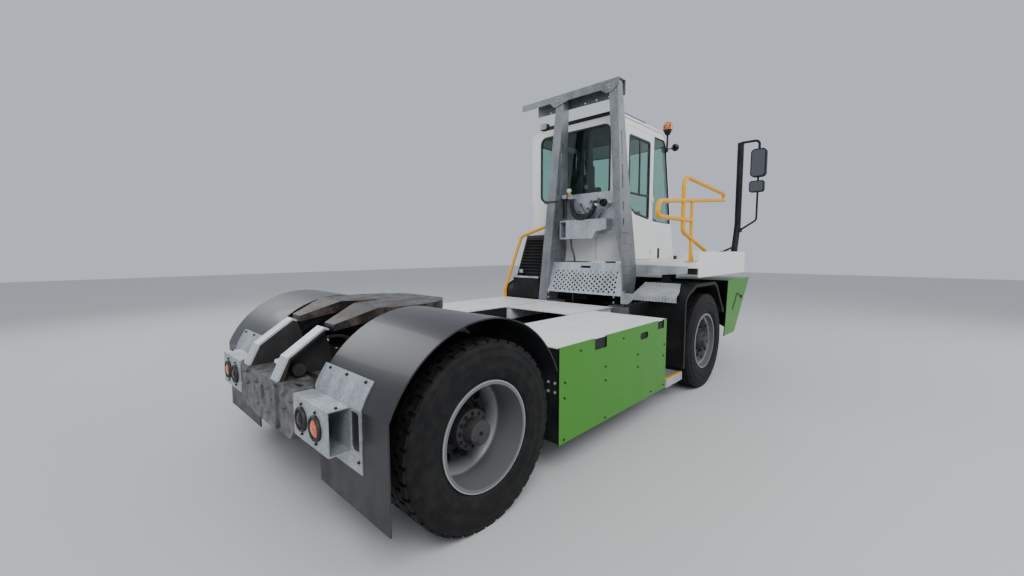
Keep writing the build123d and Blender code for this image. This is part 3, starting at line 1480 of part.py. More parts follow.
# Mirrors on their poles
MIRROR_X = CAB_REAR_X + 1640
POLE_RADIUS = 38
POLE_FOOT_X = MIRROR_X - 100
MIRROR_ARM_Z = 2893
HEAD_Y = (MIRROR_OUTER_Y + 1243) / 2
with BuildPart() as mirrors:
    pole_y = -MIRROR_POLE_Y
    tube(
        [
            at(POLE_FOOT_X, pole_y, PLATFORM_TOP),
            at(POLE_FOOT_X, pole_y, 1500),
            at(MIRROR_X, pole_y, 1830),
            at(MIRROR_X, pole_y, MIRROR_ARM_Z),
        ],
        [90, 90],
        POLE_RADIUS,
    )
    tube(
        [
            at(MIRROR_X, pole_y, MIRROR_ARM_Z),
            at(MIRROR_X, -HEAD_Y, MIRROR_ARM_Z),
            at(MIRROR_X, -HEAD_Y, 2770),
        ],
        [50],
        15,
    )
    rounded(section(MIRROR_X - 34), (-HEAD_Y, 2610), (176, 352), 50, 70)
    rounded(section(MIRROR_X - 28), (-HEAD_Y + 10, 2317), (170, 145), 30, 50)
    tube(
        [
            at(MIRROR_X, -HEAD_Y, 2450),
            at(MIRROR_X, -HEAD_Y, 1894),
            at(MIRROR_X, pole_y - 30, 1770),
        ],
        [60],
        12,
    )
    block(MIRROR_X - 45, MIRROR_X + 45, pole_y - 46, pole_y + 30, 1745, 1800)
    both_sides()
    tube(
        [at(POLE_FOOT_X + 20, pole_y, 1560), at(PLATFORM_FRONT_X - 30, pole_y + 205, 1480)],
        [],
        12,
    )
    block(
        PLATFORM_FRONT_X - 45,
        PLATFORM_FRONT_X - PLATFORM_SHEET,
        pole_y + 190,
        pole_y + 220,
        1460,
        1498,
    )
save(mirrors, "mirrors")


# Cab shell: straight sides, a bowed front that leans back in three steps, a dished roof
CAB_MIDDLE_Y = (CAB_LEFT_Y + CAB_RIGHT_Y) / 2
CAB_HALF = (CAB_LEFT_Y - CAB_RIGHT_Y) / 2
BOW_RADIUS = (CAB_HALF**2 + CAB_BULGE**2) / (2 * CAB_BULGE)
FRONT_LINE = [(CAB_LENGTH, CAB_FLOOR), (1390, 1880), (1180, 2890), (1120, 3100)]


def corner_x(z):
    """How far ahead of the rear axle the cab's front corners are at this height."""
    for (low_x, low_z), (high_x, high_z) in zip(FRONT_LINE, FRONT_LINE[1:]):
        if z <= high_z or high_z == FRONT_LINE[-1][1]:
            return CAB_REAR_X + slope(z, low_z, high_z, low_x, high_x)


def cab_plan(z, inset):
    """Plan view face of the cab at this height, shrunk by this much all round."""
    centre = corner_x(z) + CAB_BULGE - BOW_RADIUS
    radius = BOW_RADIUS - inset
    half = CAB_HALF - inset
    side_x = centre + sqrt(radius**2 - half**2)
    with BuildSketch(PLAN.offset(z)) as face:
        with BuildLine():
            ThreePointArc(
                (side_x, CAB_MIDDLE_Y - half),
                (centre + radius, CAB_MIDDLE_Y),
                (side_x, CAB_MIDDLE_Y + half),
            )
            Polyline(
                (side_x, CAB_MIDDLE_Y + half),
                (CAB_REAR_X + inset, CAB_MIDDLE_Y + half),
                (CAB_REAR_X + inset, CAB_MIDDLE_Y - half),
                (side_x, CAB_MIDDLE_Y - half),
            )
        make_face()
    return face.sketch


def cab_block(inset, low, high):
    """Solid of the cab between these heights, shrunk by this much all round."""
    middle = [z for x, z in FRONT_LINE if low < z < high]
    with BuildPart() as solid:
        loft([cab_plan(z, inset) for z in [low, *middle, high]], ruled=True)
    return solid.part


REAR_WINDOW = ((CAB_MIDDLE_Y + 7, 2570), (1056, 850))
LEFT_WINDOW = ((CAB_REAR_X + 430, 2550), (620, 800))
QUARTER = ahead_of(CAB_REAR_X, [(800, 1885), (800, 2960), (1108, 2960), (1165, 2860), (1360, 1870)])
DOOR_WINDOW = ahead_of(
    CAB_REAR_X,
    [
        (140, DOOR_TOP - 90),
        (700, DOOR_TOP - 90),
        (700, 1896),
        (310, 1945),
        (200, 2010),
        (140, 2110),
    ],
)
SCREEN_Y = (CAB_RIGHT_Y + 55, CAB_LEFT_Y - 55)
SCREEN_Z = (1880, 2900)
RECESS = 22
HINGE_X = DOOR_FRONT_X + 12
HINGE_Y = CAB_RIGHT_Y - 12
HINGES = (1500, 2160)
HINGE_PIN_RADIUS = 5
LUG_HALF = 15


def pane(plane, points, radius, shrink, depth, mode=Mode.ADD):
    """A window of this shape with rounded corners, or the glass that fits it."""
    with BuildSketch(plane) as face:
        with BuildLine():
            Polyline(*points, close=True)
        make_face()
        fillet(face.vertices(), radius)
        if shrink:
            offset(amount=-shrink, mode=Mode.REPLACE)
    extrude(face.sketch, amount=depth, mode=mode)


with BuildPart() as cab_body:
    add(cab_block(0, CAB_FLOOR, ROOF_JOINT))
    add(cab_block(CAB_WALL, CAB_FLOOR + CAB_WALL, ROOF_JOINT), mode=Mode.SUBTRACT)
    block(
        CAB_REAR_X,
        CAB_REAR_X + 760,
        CAB_LEFT_Y - RECESS,
        CAB_LEFT_Y,
        CAB_FLOOR,
        2120,
        mode=Mode.SUBTRACT,
    )
    rounded(section(CAB_REAR_X), *REAR_WINDOW, 95, CAB_WALL, mode=Mode.SUBTRACT)
    rounded(across(CAB_LEFT_Y), *LEFT_WINDOW, 60, CAB_WALL, mode=Mode.SUBTRACT)
    block(
        DOOR_REAR_X,
        DOOR_FRONT_X,
        CAB_RIGHT_Y,
        CAB_RIGHT_Y + CAB_WALL,
        DOOR_BOTTOM,
        DOOR_TOP,
        mode=Mode.SUBTRACT,
    )
    for y in (CAB_LEFT_Y, CAB_RIGHT_Y + CAB_WALL):
        pane(across(y), QUARTER, 30, 0, CAB_WALL, mode=Mode.SUBTRACT)
    block(CAB_REAR_X + 1050, CAB_REAR_X + 1700, *SCREEN_Y, *SCREEN_Z, mode=Mode.SUBTRACT)
    block(
        CAB_REAR_X + 975,
        CAB_REAR_X + 1045,
        CAB_RIGHT_Y,
        CAB_RIGHT_Y + 10,
        1400,
        1540,
        mode=Mode.SUBTRACT,
    )
    pivot_x, pivot_z = CAB_PIVOT
    for y in PIVOT_FORKS:
        slab(
            [
                (pivot_x - 50, CAB_FLOOR + 5),
                (pivot_x - 28, pivot_z - 28),
                (pivot_x + 28, pivot_z - 28),
                (pivot_x + 50, CAB_FLOOR + 5),
            ],
            y - LUG_HALF,
            y + LUG_HALF,
        )
        lug_hole = PIVOT_RADIUS + RUNNING_FIT
        disc(pivot_x, pivot_z, lug_hole, y - LUG_HALF, y + LUG_HALF, mode=Mode.SUBTRACT)
    for z in HINGES:
        post(HINGE_X, HINGE_Y, 11, z - 40, z - 21)
        block(HINGE_X, HINGE_X + 16, HINGE_Y, HINGE_Y + 16, z - 40, z - 21)
        post(HINGE_X, HINGE_Y, HINGE_PIN_RADIUS, z - 22, z + 38)
save(cab_body, "cab_body")

with BuildPart() as cab_roof:
    loft(
        [
            cab_plan(ROOF_JOINT, 0),
            cab_plan(ROOF_JOINT + 38, 24),
            cab_plan(ROOF_TOP, 85),
        ],
        ruled=True,
    )
    with BuildPart(mode=Mode.SUBTRACT):
        loft([cab_plan(ROOF_JOINT, CAB_WALL), cab_plan(ROOF_TOP - CAB_WALL, 70)], ruled=True)
save(cab_roof, "cab_roof")

with BuildPart() as cab_glass:
    add(cab_block(GLASS_DEPTH, SCREEN_Z[0], SCREEN_Z[1]))
    add(cab_block(GLASS_DEPTH + GLASS, SCREEN_Z[0], SCREEN_Z[1]), mode=Mode.SUBTRACT)
    block(
        CAB_REAR_X + 1050,
        CAB_REAR_X + 1700,
        SCREEN_Y[0] + FIT,
        SCREEN_Y[1] - FIT,
        SCREEN_Z[0] + FIT,
        SCREEN_Z[1] - FIT,
        mode=Mode.INTERSECT,
    )
    for plane, (centre, size), radius in (
        (section(CAB_REAR_X + GLASS_DEPTH), REAR_WINDOW, 94),
        (across(CAB_LEFT_Y - GLASS_DEPTH), LEFT_WINDOW, 59),
    ):
        rounded(plane, centre, (size[0] - 2 * FIT, size[1] - 2 * FIT), radius, GLASS)
    for y in (CAB_LEFT_Y - GLASS_DEPTH, CAB_RIGHT_Y + GLASS_DEPTH + GLASS):
        pane(across(y), QUARTER, 30, FIT, GLASS)
save(cab_glass, "cab_glass")

# Door on the right, hinged at its front edge
with BuildPart() as cab_door:
    block(
        DOOR_REAR_X + DOOR_GAP,
        DOOR_FRONT_X - DOOR_GAP,
        CAB_RIGHT_Y,
        CAB_RIGHT_Y + CAB_WALL,
        DOOR_BOTTOM + DOOR_GAP,
        DOOR_TOP - DOOR_GAP,
    )
    pane(across(CAB_RIGHT_Y + CAB_WALL), DOOR_WINDOW, 40, 0, CAB_WALL, mode=Mode.SUBTRACT)
    for z in HINGES:
        post(HINGE_X, HINGE_Y, 11, z - 20, z + 30)
        block(HINGE_X - 28, HINGE_X, HINGE_Y - 1, HINGE_Y + 7, z - 20, z + 30)
        block(HINGE_X - 30, HINGE_X - 18, HINGE_Y + 3, HINGE_Y + 13, z - 20, z + 30)
        pin_hole = HINGE_PIN_RADIUS + RUNNING_FIT
        post(HINGE_X, HINGE_Y, pin_hole, z - 20, z + 30, mode=Mode.SUBTRACT)
    block(DOOR_REAR_X + 30, DOOR_REAR_X + 60, CAB_RIGHT_Y - 28, CAB_RIGHT_Y, 1850, 1990)
save(cab_door, "cab_door")
with BuildPart() as door_glass:
    pane(across(CAB_RIGHT_Y + GLASS_DEPTH + GLASS), DOOR_WINDOW, 40, FIT, GLASS)
save(door_glass, "door_glass")

# Driver's seat and the dash with its steering wheel
FLOOR_TOP = CAB_FLOOR + CAB_WALL
SEAT_X = CAB_REAR_X + 330
SEAT_Y = (110, 610)
with BuildPart() as seat:
    block(SEAT_X + 90, SEAT_X + 410, 220, 500, FLOOR_TOP, FLOOR_TOP + 300)
    seat_middle = (SEAT_X + 250, sum(SEAT_Y) / 2)
    rounded(PLAN.offset(FLOOR_TOP + 300), seat_middle, (500, 500), 60, 130)
    slab(
        ahead_of(
            SEAT_X,
            [
                (0, FLOOR_TOP + 400),
                (-130, FLOOR_TOP + 1080),
                (-20, FLOOR_TOP + 1080),
                (120, FLOOR_TOP + 430),
            ],
        ),
        SEAT_Y[0] + 10,
        SEAT_Y[1] - 10,
    )
save(seat, "seat")
WHEEL_HUB = (CAB_REAR_X + 1068, 360, FLOOR_TOP + 599)
COLUMN = (-0.62, 0, 0.78)
HAND_WHEEL_RADIUS = 205
with BuildPart() as dashboard:
    slab(
        ahead_of(
            CAB_REAR_X,
            [
                (1250, FLOOR_TOP),
                (1300, FLOOR_TOP + 420),
                (1160, FLOOR_TOP + 520),
                (1130, FLOOR_TOP + 500),
                (1180, FLOOR_TOP),
            ],
        ),
        -200,
        900,
    )
    hub = Vector(*at(*WHEEL_HUB))
    column = Vector(*COLUMN)
    with BuildSketch(Plane(origin=hub - column * 165, z_dir=COLUMN)):
        Circle(26)
    extrude(amount=165)
    with BuildSketch(Plane(origin=hub, z_dir=COLUMN)):
        Rectangle(2 * HAND_WHEEL_RADIUS - 10, 34)
        Circle(45)
    extrude(amount=20)
    rim_plane = Plane(origin=hub + column * 10, x_dir=(0, 1, 0), z_dir=(0.78, 0, 0.62))
    with BuildSketch(rim_plane):
        with Locations((HAND_WHEEL_RADIUS, 0)):
            Circle(15)
    revolve(axis=Axis(hub + column * 10, COLUMN))
save(dashboard, "dashboard")

# On the cab: beacon on its stalk, a round mirror, a low panel on the roof and a work lamp
BEACON_X = CAB_REAR_X + 1165
BEACON_Y = CAB_RIGHT_Y - 14
BEACON_OUTLINE = [
    (0, 3046),
    (30, 3046),
    (48, 3090),
    (50, 3106),
    (58, 3106),
    (58, 3160),
    (48, 3192),
    (26, 3207),
    (0, 3210),
]
with BuildPart() as roof_lamps:
    block(BEACON_X - 30, BEACON_X + 12, CAB_RIGHT_Y - 24, CAB_RIGHT_Y, 2820, 2870)
    tube([at(BEACON_X, BEACON_Y, 2850), at(BEACON_X, BEACON_Y, 3050)], [], 12)
    revolve(
        outline(across(BEACON_Y), [(BEACON_X + r, z) for r, z in BEACON_OUTLINE]),
        axis=Axis(at(BEACON_X, BEACON_Y, 0), (0, 0, 1)),
    )
    tube([at(BEACON_X, BEACON_Y, 2858), at(BEACON_X + 130, BEACON_Y - 50, 2890)], [], 8)
    with BuildSketch(section(BEACON_X + 120)):
        with Locations((BEACON_Y - 55, 2895)):
            Circle(48)
    extrude(amount=22)
    rounded(
        PLAN.offset(ROOF_TOP),
        (CAB_REAR_X + 470, CAB_MIDDLE_Y - 25),
        (780, 1060),
        60,
        46,
    )
    block(CAB_REAR_X + 90, CAB_REAR_X + 130, CAB_LEFT_Y - 150, CAB_LEFT_Y - 110, ROOF_TOP, ROOF_TOP + 20)
    rounded(section(CAB_REAR_X + 75), (CAB_LEFT_Y - 130, ROOF_TOP + 55), (120, 80), 18, 60)
save(roof_lamps, "roof_lamps")
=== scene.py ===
# %% [markdown]
# # Dressing a terminal tractor
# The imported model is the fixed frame: every steel part is already at its place and rides on the body that
# carries it. This lesson gives each part its finish and adds the small work that a CAD file leaves out:
# tread, nuts, lenses, hoses, seals, rivets and wear.

# %% Load the frame
import bpy, bmesh
from math import atan2, cos, degrees, hypot, pi, radians, sin
from mathutils import Matrix, Vector


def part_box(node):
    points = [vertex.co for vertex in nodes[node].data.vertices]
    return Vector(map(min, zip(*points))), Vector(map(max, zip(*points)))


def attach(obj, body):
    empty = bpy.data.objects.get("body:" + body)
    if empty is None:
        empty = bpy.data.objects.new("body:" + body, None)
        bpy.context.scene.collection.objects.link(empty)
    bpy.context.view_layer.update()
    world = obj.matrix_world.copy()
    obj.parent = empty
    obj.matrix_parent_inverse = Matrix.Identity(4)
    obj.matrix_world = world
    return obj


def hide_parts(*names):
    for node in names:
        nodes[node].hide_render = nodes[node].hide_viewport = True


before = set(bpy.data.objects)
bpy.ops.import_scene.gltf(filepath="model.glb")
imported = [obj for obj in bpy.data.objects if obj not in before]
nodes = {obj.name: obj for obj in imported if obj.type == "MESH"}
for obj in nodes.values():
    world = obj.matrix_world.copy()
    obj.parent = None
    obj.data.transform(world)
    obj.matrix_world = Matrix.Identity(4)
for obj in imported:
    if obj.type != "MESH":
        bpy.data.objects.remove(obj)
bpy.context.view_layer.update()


def middle(node):
    low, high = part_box(node)
    return (Vector(low) + Vector(high)) / 2


REAR = middle("rear_tyres_right").x
AXLE_Z = middle("rear_tyres_right").z
FRONT = middle("front_tyre_right").x
WHEELBASE = round((FRONT - REAR) * 1000)
SIDES = ((-1, "right"), (1, "left"))
print("rear axle at", round(REAR, 4), "wheelbase", WHEELBASE, "axle height", round(AXLE_Z, 4))

# %% [markdown]
# ## The camera
# A phone's wide lens stood low behind the right rear wheel. Its place, heading and tilt were solved from the
# wheel circles and the straight edges of the boxes, so the render can be laid over the photograph.

# %% Camera
CAMERA_PLACE = (REAR - 1.499, -2.799, 1.4932)
HEADING = 0.75312
TILT = -0.08564
ROLL = 0.0015
FOCAL_PIXELS = 423.0
FRAME_WIDE = 1024
SENSOR_WIDE = 36
bpy.ops.object.camera_add(location=CAMERA_PLACE, rotation=(pi / 2 + TILT, ROLL, HEADING - pi / 2))
camera = bpy.context.object
camera.data.sensor_width = SENSOR_WIDE
camera.data.lens = FOCAL_PIXELS / FRAME_WIDE * SENSOR_WIDE
camera.data.clip_start = 0.05
bpy.context.scene.camera = camera
print("lens", round(camera.data.lens, 2), "mm")

# %% [markdown]
# ## Floor and light
# The day was overcast: one big soft sky and hardly a shadow. A pale floor, a pale world and three large area
# lamps do the same in a studio. The floor is marked as stage, because it isn't part of the machine.

# %% Studio
FLOOR_SIZE = 60
bpy.ops.mesh.primitive_plane_add(size=FLOOR_SIZE, location=(0, 0, 0))
floor = bpy.context.object
floor.name = "floor"
floor_finish = bpy.data.materials.new("pale_floor")
floor_finish.use_nodes = True
floor_shader = floor_finish.node_tree.nodes["Principled BSDF"]
floor_shader.inputs["Base Color"].default_value = (0.60, 0.60, 0.59, 1)
floor_shader.inputs["Roughness"].default_value = 0.8
floor.data.materials.append(floor_finish)

world = bpy.context.scene.world or bpy.data.worlds.new("sky")
bpy.context.scene.world = world
world.use_nodes = True
sky = world.node_tree.nodes["Background"]
sky.inputs["Color"].default_value = (0.74, 0.79, 0.88, 1)
sky.inputs["Strength"].default_value = 0.75

# name, place, diameter in metres, power in watts
LAMPS = (
    ("key_light", (-5.5, -6.0, 7.5), 6.0, 560),
    ("fill_light", (6.0, -7.0, 5.5), 5.0, 260),
    ("back_light", (-3.0, 8.0, 6.5), 6.0, 260),
)
AIM = Vector((0, 0, 0.8))
for name, place, size, power in LAMPS:
    bpy.ops.object.light_add(type="AREA", location=place)
    lamp = bpy.context.object
    lamp.name = name
    lamp.data.shape = "DISK"
    lamp.data.size = size
    lamp.data.energy = power
    lamp.visible_camera = False
    lamp.rotation_euler = (AIM - Vector(place)).to_track_quat("-Z", "Y").to_euler()
print("area lamps", len(LAMPS))

# %% [markdown]
# ## Writing shader maths in plain Python
# A material is a web of small sums. Clicking them together is slow to read, so a Wire holds one output of the
# web and knows what + - and * mean. A Finish owns one material and lays new nodes with one method.


# %% Wires and finishes
def plug(tree, entry, value):
    if isinstance(value, Wire):
        tree.links.new(value.socket, entry)
    else:
        entry.default_value = value


class Wire:
    def __init__(self, tree, socket):
        self.tree = tree
        self.socket = socket

    def maths(self, operation, *values, clamp=False):
        node = self.tree.nodes.new("ShaderNodeMath")
        node.operation = operation
        node.use_clamp = clamp
        for entry, value in zip(node.inputs, values):
            plug(self.tree, entry, value)
        return Wire(self.tree, node.outputs[0])

    def __add__(self, other):
        return self.maths("ADD", self, other)

    __radd__ = __add__

    def __sub__(self, other):
        return self.maths("SUBTRACT", self, other)

    def __rsub__(self, other):
        return self.maths("SUBTRACT", other, self)

    def __mul__(self, other):
        return self.maths("MULTIPLY", self, other)

    __rmul__ = __mul__

    def above(self, low, high):
        """0 below low, 1 above high, straight between."""
        return self.maths("MULTIPLY", self - low, 1 / (high - low), clamp=True)

    def smaller(self, other):
        return self.maths("MINIMUM", self, other)

    def larger(self, other):
        return self.maths("MAXIMUM", self, other)

    def fraction(self):
        return self.maths("FRACT", self)

    def root(self):
        return self.maths("SQRT", self)


class Finish:
    def __init__(self, name, colour, roughness=0.5, metallic=0.0, **constants):
        self.material = bpy.data.materials.new(name)
        self.material.use_nodes = True
        self.tree = self.material.node_tree
        self.shader = self.tree.nodes["Principled BSDF"]
        self.set("Base Color", (*colour, 1))
        self.set("Roughness", roughness)
        self.set("Metallic", metallic)
        for entry, value in constants.items():
            self.set(entry.replace("_", " "), value)
        self.place = self.add("ShaderNodeTexCoord", out="Object")

    def set(self, entry, value):
        plug(self.tree, self.shader.inputs[entry], value)

    def add(self, kind, settings=None, sockets=None, out=0):
        node = self.tree.nodes.new(kind)
        for key, value in (settings or {}).items():
            setattr(node, key, value)
        for key, value in (sockets or {}).items():
            plug(self.tree, node.inputs[key], value)
        return Wire(self.tree, node.outputs[out])

    def noise(self, scale, detail=4.0, stretch=None, rough=0.5):
        place = self.place
        if stretch:
            place = self.add("ShaderNodeMapping", sockets={"Vector": place, "Scale": stretch})
        values = {"Vector": place, "Scale": scale, "Detail": detail, "Roughness": rough}
        return self.add("ShaderNodeTexNoise", sockets=values, out="Fac")

    def cells(self, scale, out="Distance"):
        values = {"Vector": self.place, "Scale": scale}
        return self.add("ShaderNodeTexVoronoi", {"feature": "F1"}, values, out)

    def axes(self, vector=None):
        """The x, y and z of a place on the object, or of another vector."""
        node = self.tree.nodes.new("ShaderNodeSeparateXYZ")
        plug(self.tree, node.inputs[0], vector or self.place)
        return [Wire(self.tree, node.outputs[k]) for k in range(3)]

    def blend(self, factor, first, second):
        ends = [value if isinstance(value, Wire) else (*value, 1) for value in (first, second)]
        sockets = {0: factor, 6: ends[0], 7: ends[1]}
        return self.add("ShaderNodeMix", {"data_type": "RGBA"}, sockets, 2)

    def bump(self, height, distance=0.001, strength=0.5):
        values = {"Height": height, "Distance": distance, "Strength": strength}
        self.set("Normal", self.add("ShaderNodeBump", sockets=values, out="Normal"))


def dress(finish, *names):
    for name in names:
        for slot in nodes[name].material_slots:
            slot.material = finish.material
    print(finish.material.name, "on", ", ".join(names))


# %% [markdown]
# ## Hot-dip galvanised steel
# Zinc freezes in crystals a centimetre or two across, so the grey is never even. Cells of a Voronoi pattern
# give each crystal its own grey, and a slow noise lays the cloudy runs of the bath over them.


# %% Galvanised
def crystals(finish):
    return finish.add("ShaderNodeRGBToBW", sockets={"Color": finish.cells(95, "Color")}, out="Val")


def galvanised(name="galvanised", dark=1.0):
    zinc = Finish(name, (0.5, 0.52, 0.54), 0.42, 0.55)
    grey = crystals(zinc)
    clouds = zinc.noise(7, 5, stretch=(1, 1, 0.5))
    tone = grey * 0.35 + clouds * 0.9
    light = tuple(v * dark for v in (0.60, 0.64, 0.67))
    deep = tuple(v * dark for v in (0.27, 0.295, 0.32))
    zinc.set("Base Color", zinc.blend(tone.above(0.35, 0.95), deep, light))
    zinc.set("Roughness", 0.34 + clouds * 0.3)
    zinc.bump(zinc.noise(160, 2) + grey * 0.4, 0.0006, 0.35)
    return zinc


zinc = galvanised()
dress(zinc, "lamp_brackets", "headboard_screen", "coupling_bracket")
# A copy of the zinc at half brightness: painted shade on the headboard posts and beam.
shaded_zinc = galvanised("shaded_zinc", 0.5)
dress(shaded_zinc, "headboard_posts", "headboard_beam")

# %% [markdown]
# ## Sprayed paint
# Fresh machine paint is almost even: a faint orange peel in the gloss, and road dust that settles towards the
# ground and in soft clouds on flat tops. The green panels carry painted shade: their finish turns black where
# a face looks back or inward.


# %% Paints
def paint(name, colour, roughness=0.32, dust_and_shade=0.35, dust_top=0.9, coat=0.12):
    gloss = {"Coat_Weight": coat, "Coat_Roughness": 0.12, "Specular_IOR_Level": 0.3}
    sprayed = Finish(name, colour, roughness, 0.0, **gloss)
    height = sprayed.axes()[2]
    low = 1 - height.above(0.2, dust_top)
    film = (low * 0.7 + 0.15) * sprayed.noise(5.5, 6).above(0.35, 0.75) * dust_and_shade
    pale = tuple(0.7 * c + 0.07 for c in colour)
    sprayed.set("Base Color", sprayed.blend(film, colour, pale))
    sprayed.set("Roughness", roughness + film * 0.5 + sprayed.noise(60, 2) * 0.05)
    sprayed.bump(sprayed.noise(260, 1), 0.0003, 0.22)
    return sprayed


LEAF_GREEN = (0.050, 0.235, 0.016)
# Black used as painted shade on the inner faces of the green panels.
PAINTED_SHADE_BLACK = (0.010, 0.011, 0.011)


def green_with_painted_shade(name, shade_inner_plates=False):
    """Green paint with painted shade: black on a panel's inner faces, those that look back or in towards the
    machine's centre line. The second argument also blackens, as painted shade, the plates that stand further
    in than 0.95 m."""
    green = paint(name, LEAF_GREEN, 0.34)
    y = green.axes()[1]
    ahead, across, up = green.axes(green.add("ShaderNodeTexCoord", out="Normal"))
    # Painted shade: faces that look back or in towards the centre line turn black.
    shaded_faces = (-1 * (y * across)).above(0.05, 0.1).larger((-1 * ahead).above(0.4, 0.6))
    if shade_inner_plates:
        shaded_faces = shaded_faces.larger(1 - (y * y).above(0.90, 0.92))
    green.set("Base Color", green.blend(shaded_faces, LEAF_GREEN, PAINTED_SHADE_BLACK))
    return green


white = paint("cab_white", (0.84, 0.84, 0.825), 0.3, 0.16, 1.6)
yellow = paint("rail_yellow", (0.80, 0.39, 0.004), 0.36, 0.1, 1.4)
frame_black = paint("frame_black", (0.010, 0.0105, 0.0115), 0.5, 0.35, 1.3, 0.0)
dress(green_with_painted_shade("bumper_green"), "front_bumper")
dress(green_with_painted_shade("cover_green", True), "battery_covers")
dress(white, "platform", "cab_body", "cab_roof", "cab_door")
dress(yellow, "handrails")
dress(frame_black, "frame_rails", "cross_tubes", "rear_axle", "front_axle", "drive_motor", "battery_boxes")
dress(frame_black, "lift_barrels", "knuckle_right", "knuckle_left", "tie_rod")

# %% [markdown]
# ## Deck sheets
# The decks are white too, but people and hoses cross them: scuffs run fore and aft and dirt sits in blotches.

# %% Deck white
deck = Finish("deck_white", (0.74, 0.74, 0.73), 0.42)
blotches = deck.noise(3.2, 8)
scuffs = deck.noise(26, 3, stretch=(0.22, 1, 1))
dirt = blotches.above(0.48, 0.8) * 0.35 + scuffs.above(0.62, 0.8) * 0.3
deck.set("Base Color", deck.blend(dirt, (0.82, 0.82, 0.805), (0.36, 0.35, 0.33)))
deck.set("Roughness", 0.4 + dirt * 0.5)
deck.bump(deck.noise(180, 2), 0.0004, 0.3)
dress(deck, "deck_sheets")

# %% [markdown]
# ## Dark mudguards and moulded plastic
# The rear mudguards are smooth sheet, nearly black, with a soft gloss: the colour stays even and the
# roughness wanders, with a little road film near the bottom. The front mudguards, the mirrors and the cabinet
# are duller, with the fine grain of a mould.

# %% Mudguards
GUARD_BLACK = (0.020, 0.020, 0.024)
guard = Finish("guard_black", GUARD_BLACK, 0.3, 0.0, Coat_Weight=0.1, Specular_IOR_Level=0.4)
height = guard.axes()[2]
film = (1 - height.above(0.25, 0.85)) * guard.noise(9, 6).above(0.35, 0.7)
guard.set("Base Color", guard.blend(film * 0.5, GUARD_BLACK, (0.055, 0.052, 0.048)))
guard.set("Roughness", 0.3 + film * 0.35 + guard.noise(4, 3) * 0.1)
guard.bump(guard.noise(40, 2), 0.0006, 0.12)
dress(guard, "rear_mudguards")

# %% Plastic
PLASTIC_BLACK = (0.008, 0.008, 0.009)
plastic = Finish("black_plastic", PLASTIC_BLACK, 0.48, Specular_IOR_Level=0.25)
moulded = plastic.noise(6, 5).above(0.45, 0.8)
plastic.set("Base Color", plastic.blend(moulded, PLASTIC_BLACK, (0.024, 0.023, 0.022)))
plastic.set("Roughness", 0.42 + plastic.noise(12, 4) * 0.2)
plastic.bump(plastic.noise(420, 2), 0.0005, 0.3)
dress(plastic, "front_mudguards", "louvre_cabinet", "mirrors", "dashboard", "roof_lamps", "lamps")

# %% [markdown]
# ## Greasy steel
# The fifth wheel and the tail of the chassis live under grease: black and wet where trailers rub, brown with
# rust and grit elsewhere. One noise chooses between the two and drives both colour and gloss.


# %% Grease
def greasy(name, dry, grease, share):
    steel = Finish(name, dry, 0.5, 0.4, Specular_IOR_Level=0.3)
    patches = steel.noise(9, 8, rough=0.62)
    fine = steel.noise(70, 4)
    wet = (patches + fine * 0.25).above(share, share + 0.18)
    steel.set("Base Color", steel.blend(wet, dry, grease))
    steel.set("Roughness", 0.62 - wet * 0.32)
    steel.set("Metallic", 0.45 - wet * 0.4)
    steel.bump(fine + patches, 0.0012, 0.4)
    return steel


plate_steel = greasy("greasy_plate", (0.105, 0.078, 0.062), (0.014, 0.012, 0.011), 0.5)
tail_steel = greasy("dusty_tail", (0.25, 0.235, 0.215), (0.045, 0.042, 0.040), 0.62)
dress(plate_steel, "fifth_wheel", "lift_frame")
dress(tail_steel, "rear_crossmember")

# %% [markdown]
# ## Tyres and wheels
# The rims are silver at the rolled edge and go brown-black towards the hub: painted shade in the deep dish,
# with patches of brake dust, and a dark ring of painted shade in the gap inside the flange. That darkening
# follows the distance from the wheel's own centre, so it turns with the wheel.


# %% Wheel finishes
def wheel_finish(name, centre_x):
    silver = Finish(name, (0.6, 0.61, 0.62), 0.36, 0.65)
    x, y, z = silver.axes()
    across, up = x - centre_x, z - AXLE_Z
    radius = (across * across + up * up).root()
    # Painted shade: darker towards the hub, where the dish lies in shade, plus noise patches of brake dust.
    dust_and_shade = (1 - radius.above(0.222, 0.286)) * 0.94 + silver.noise(14, 6).above(0.55, 0.85) * 0.25
    # Painted shade in the ring-shaped gap between the rim flange and the barrel.
    groove = radius.above(0.268, 0.274) * (1 - radius.above(0.292, 0.297))
    dust_and_shade = dust_and_shade.larger(groove * 0.72)
    silver.set("Base Color", silver.blend(dust_and_shade, (0.50, 0.51, 0.53), (0.011, 0.010, 0.0095)))
    silver.set("Roughness", 0.34 + dust_and_shade * 0.35)
    silver.set("Metallic", 0.65 - dust_and_shade * 0.6)
    silver.bump(silver.noise(150, 3), 0.0004, 0.3)
    return silver


dress(wheel_finish("rear_wheel_silver", REAR), "rear_rims_right", "rear_rims_left")
dress(wheel_finish("front_wheel_silver", FRONT), "front_rim_right", "front_rim_left")

rubber = Finish("tyre_rubber", (0.008, 0.008, 0.009), 0.62, Specular_IOR_Level=0.18)
wear = rubber.noise(20, 6)
rubber.set("Base Color", rubber.blend(wear.above(0.4, 0.75), (0.0075, 0.0075, 0.008), (0.020, 0.019, 0.018)))
rubber.set("Roughness", 0.52 + wear * 0.25)
rubber.bump(rubber.noise(240, 3), 0.0006, 0.35)
dress(rubber, "rear_tyres_right", "rear_tyres_left", "front_tyre_right", "front_tyre_left")

# %% [markdown]
# ## Glass, polished rods and cloth
# Cab glass is tinted green and lets the eye through. Transmission and a constant tint do that; the thickness
# of the pane comes from its solid. The lift rods are polished lengthwise, and the seat is woven.

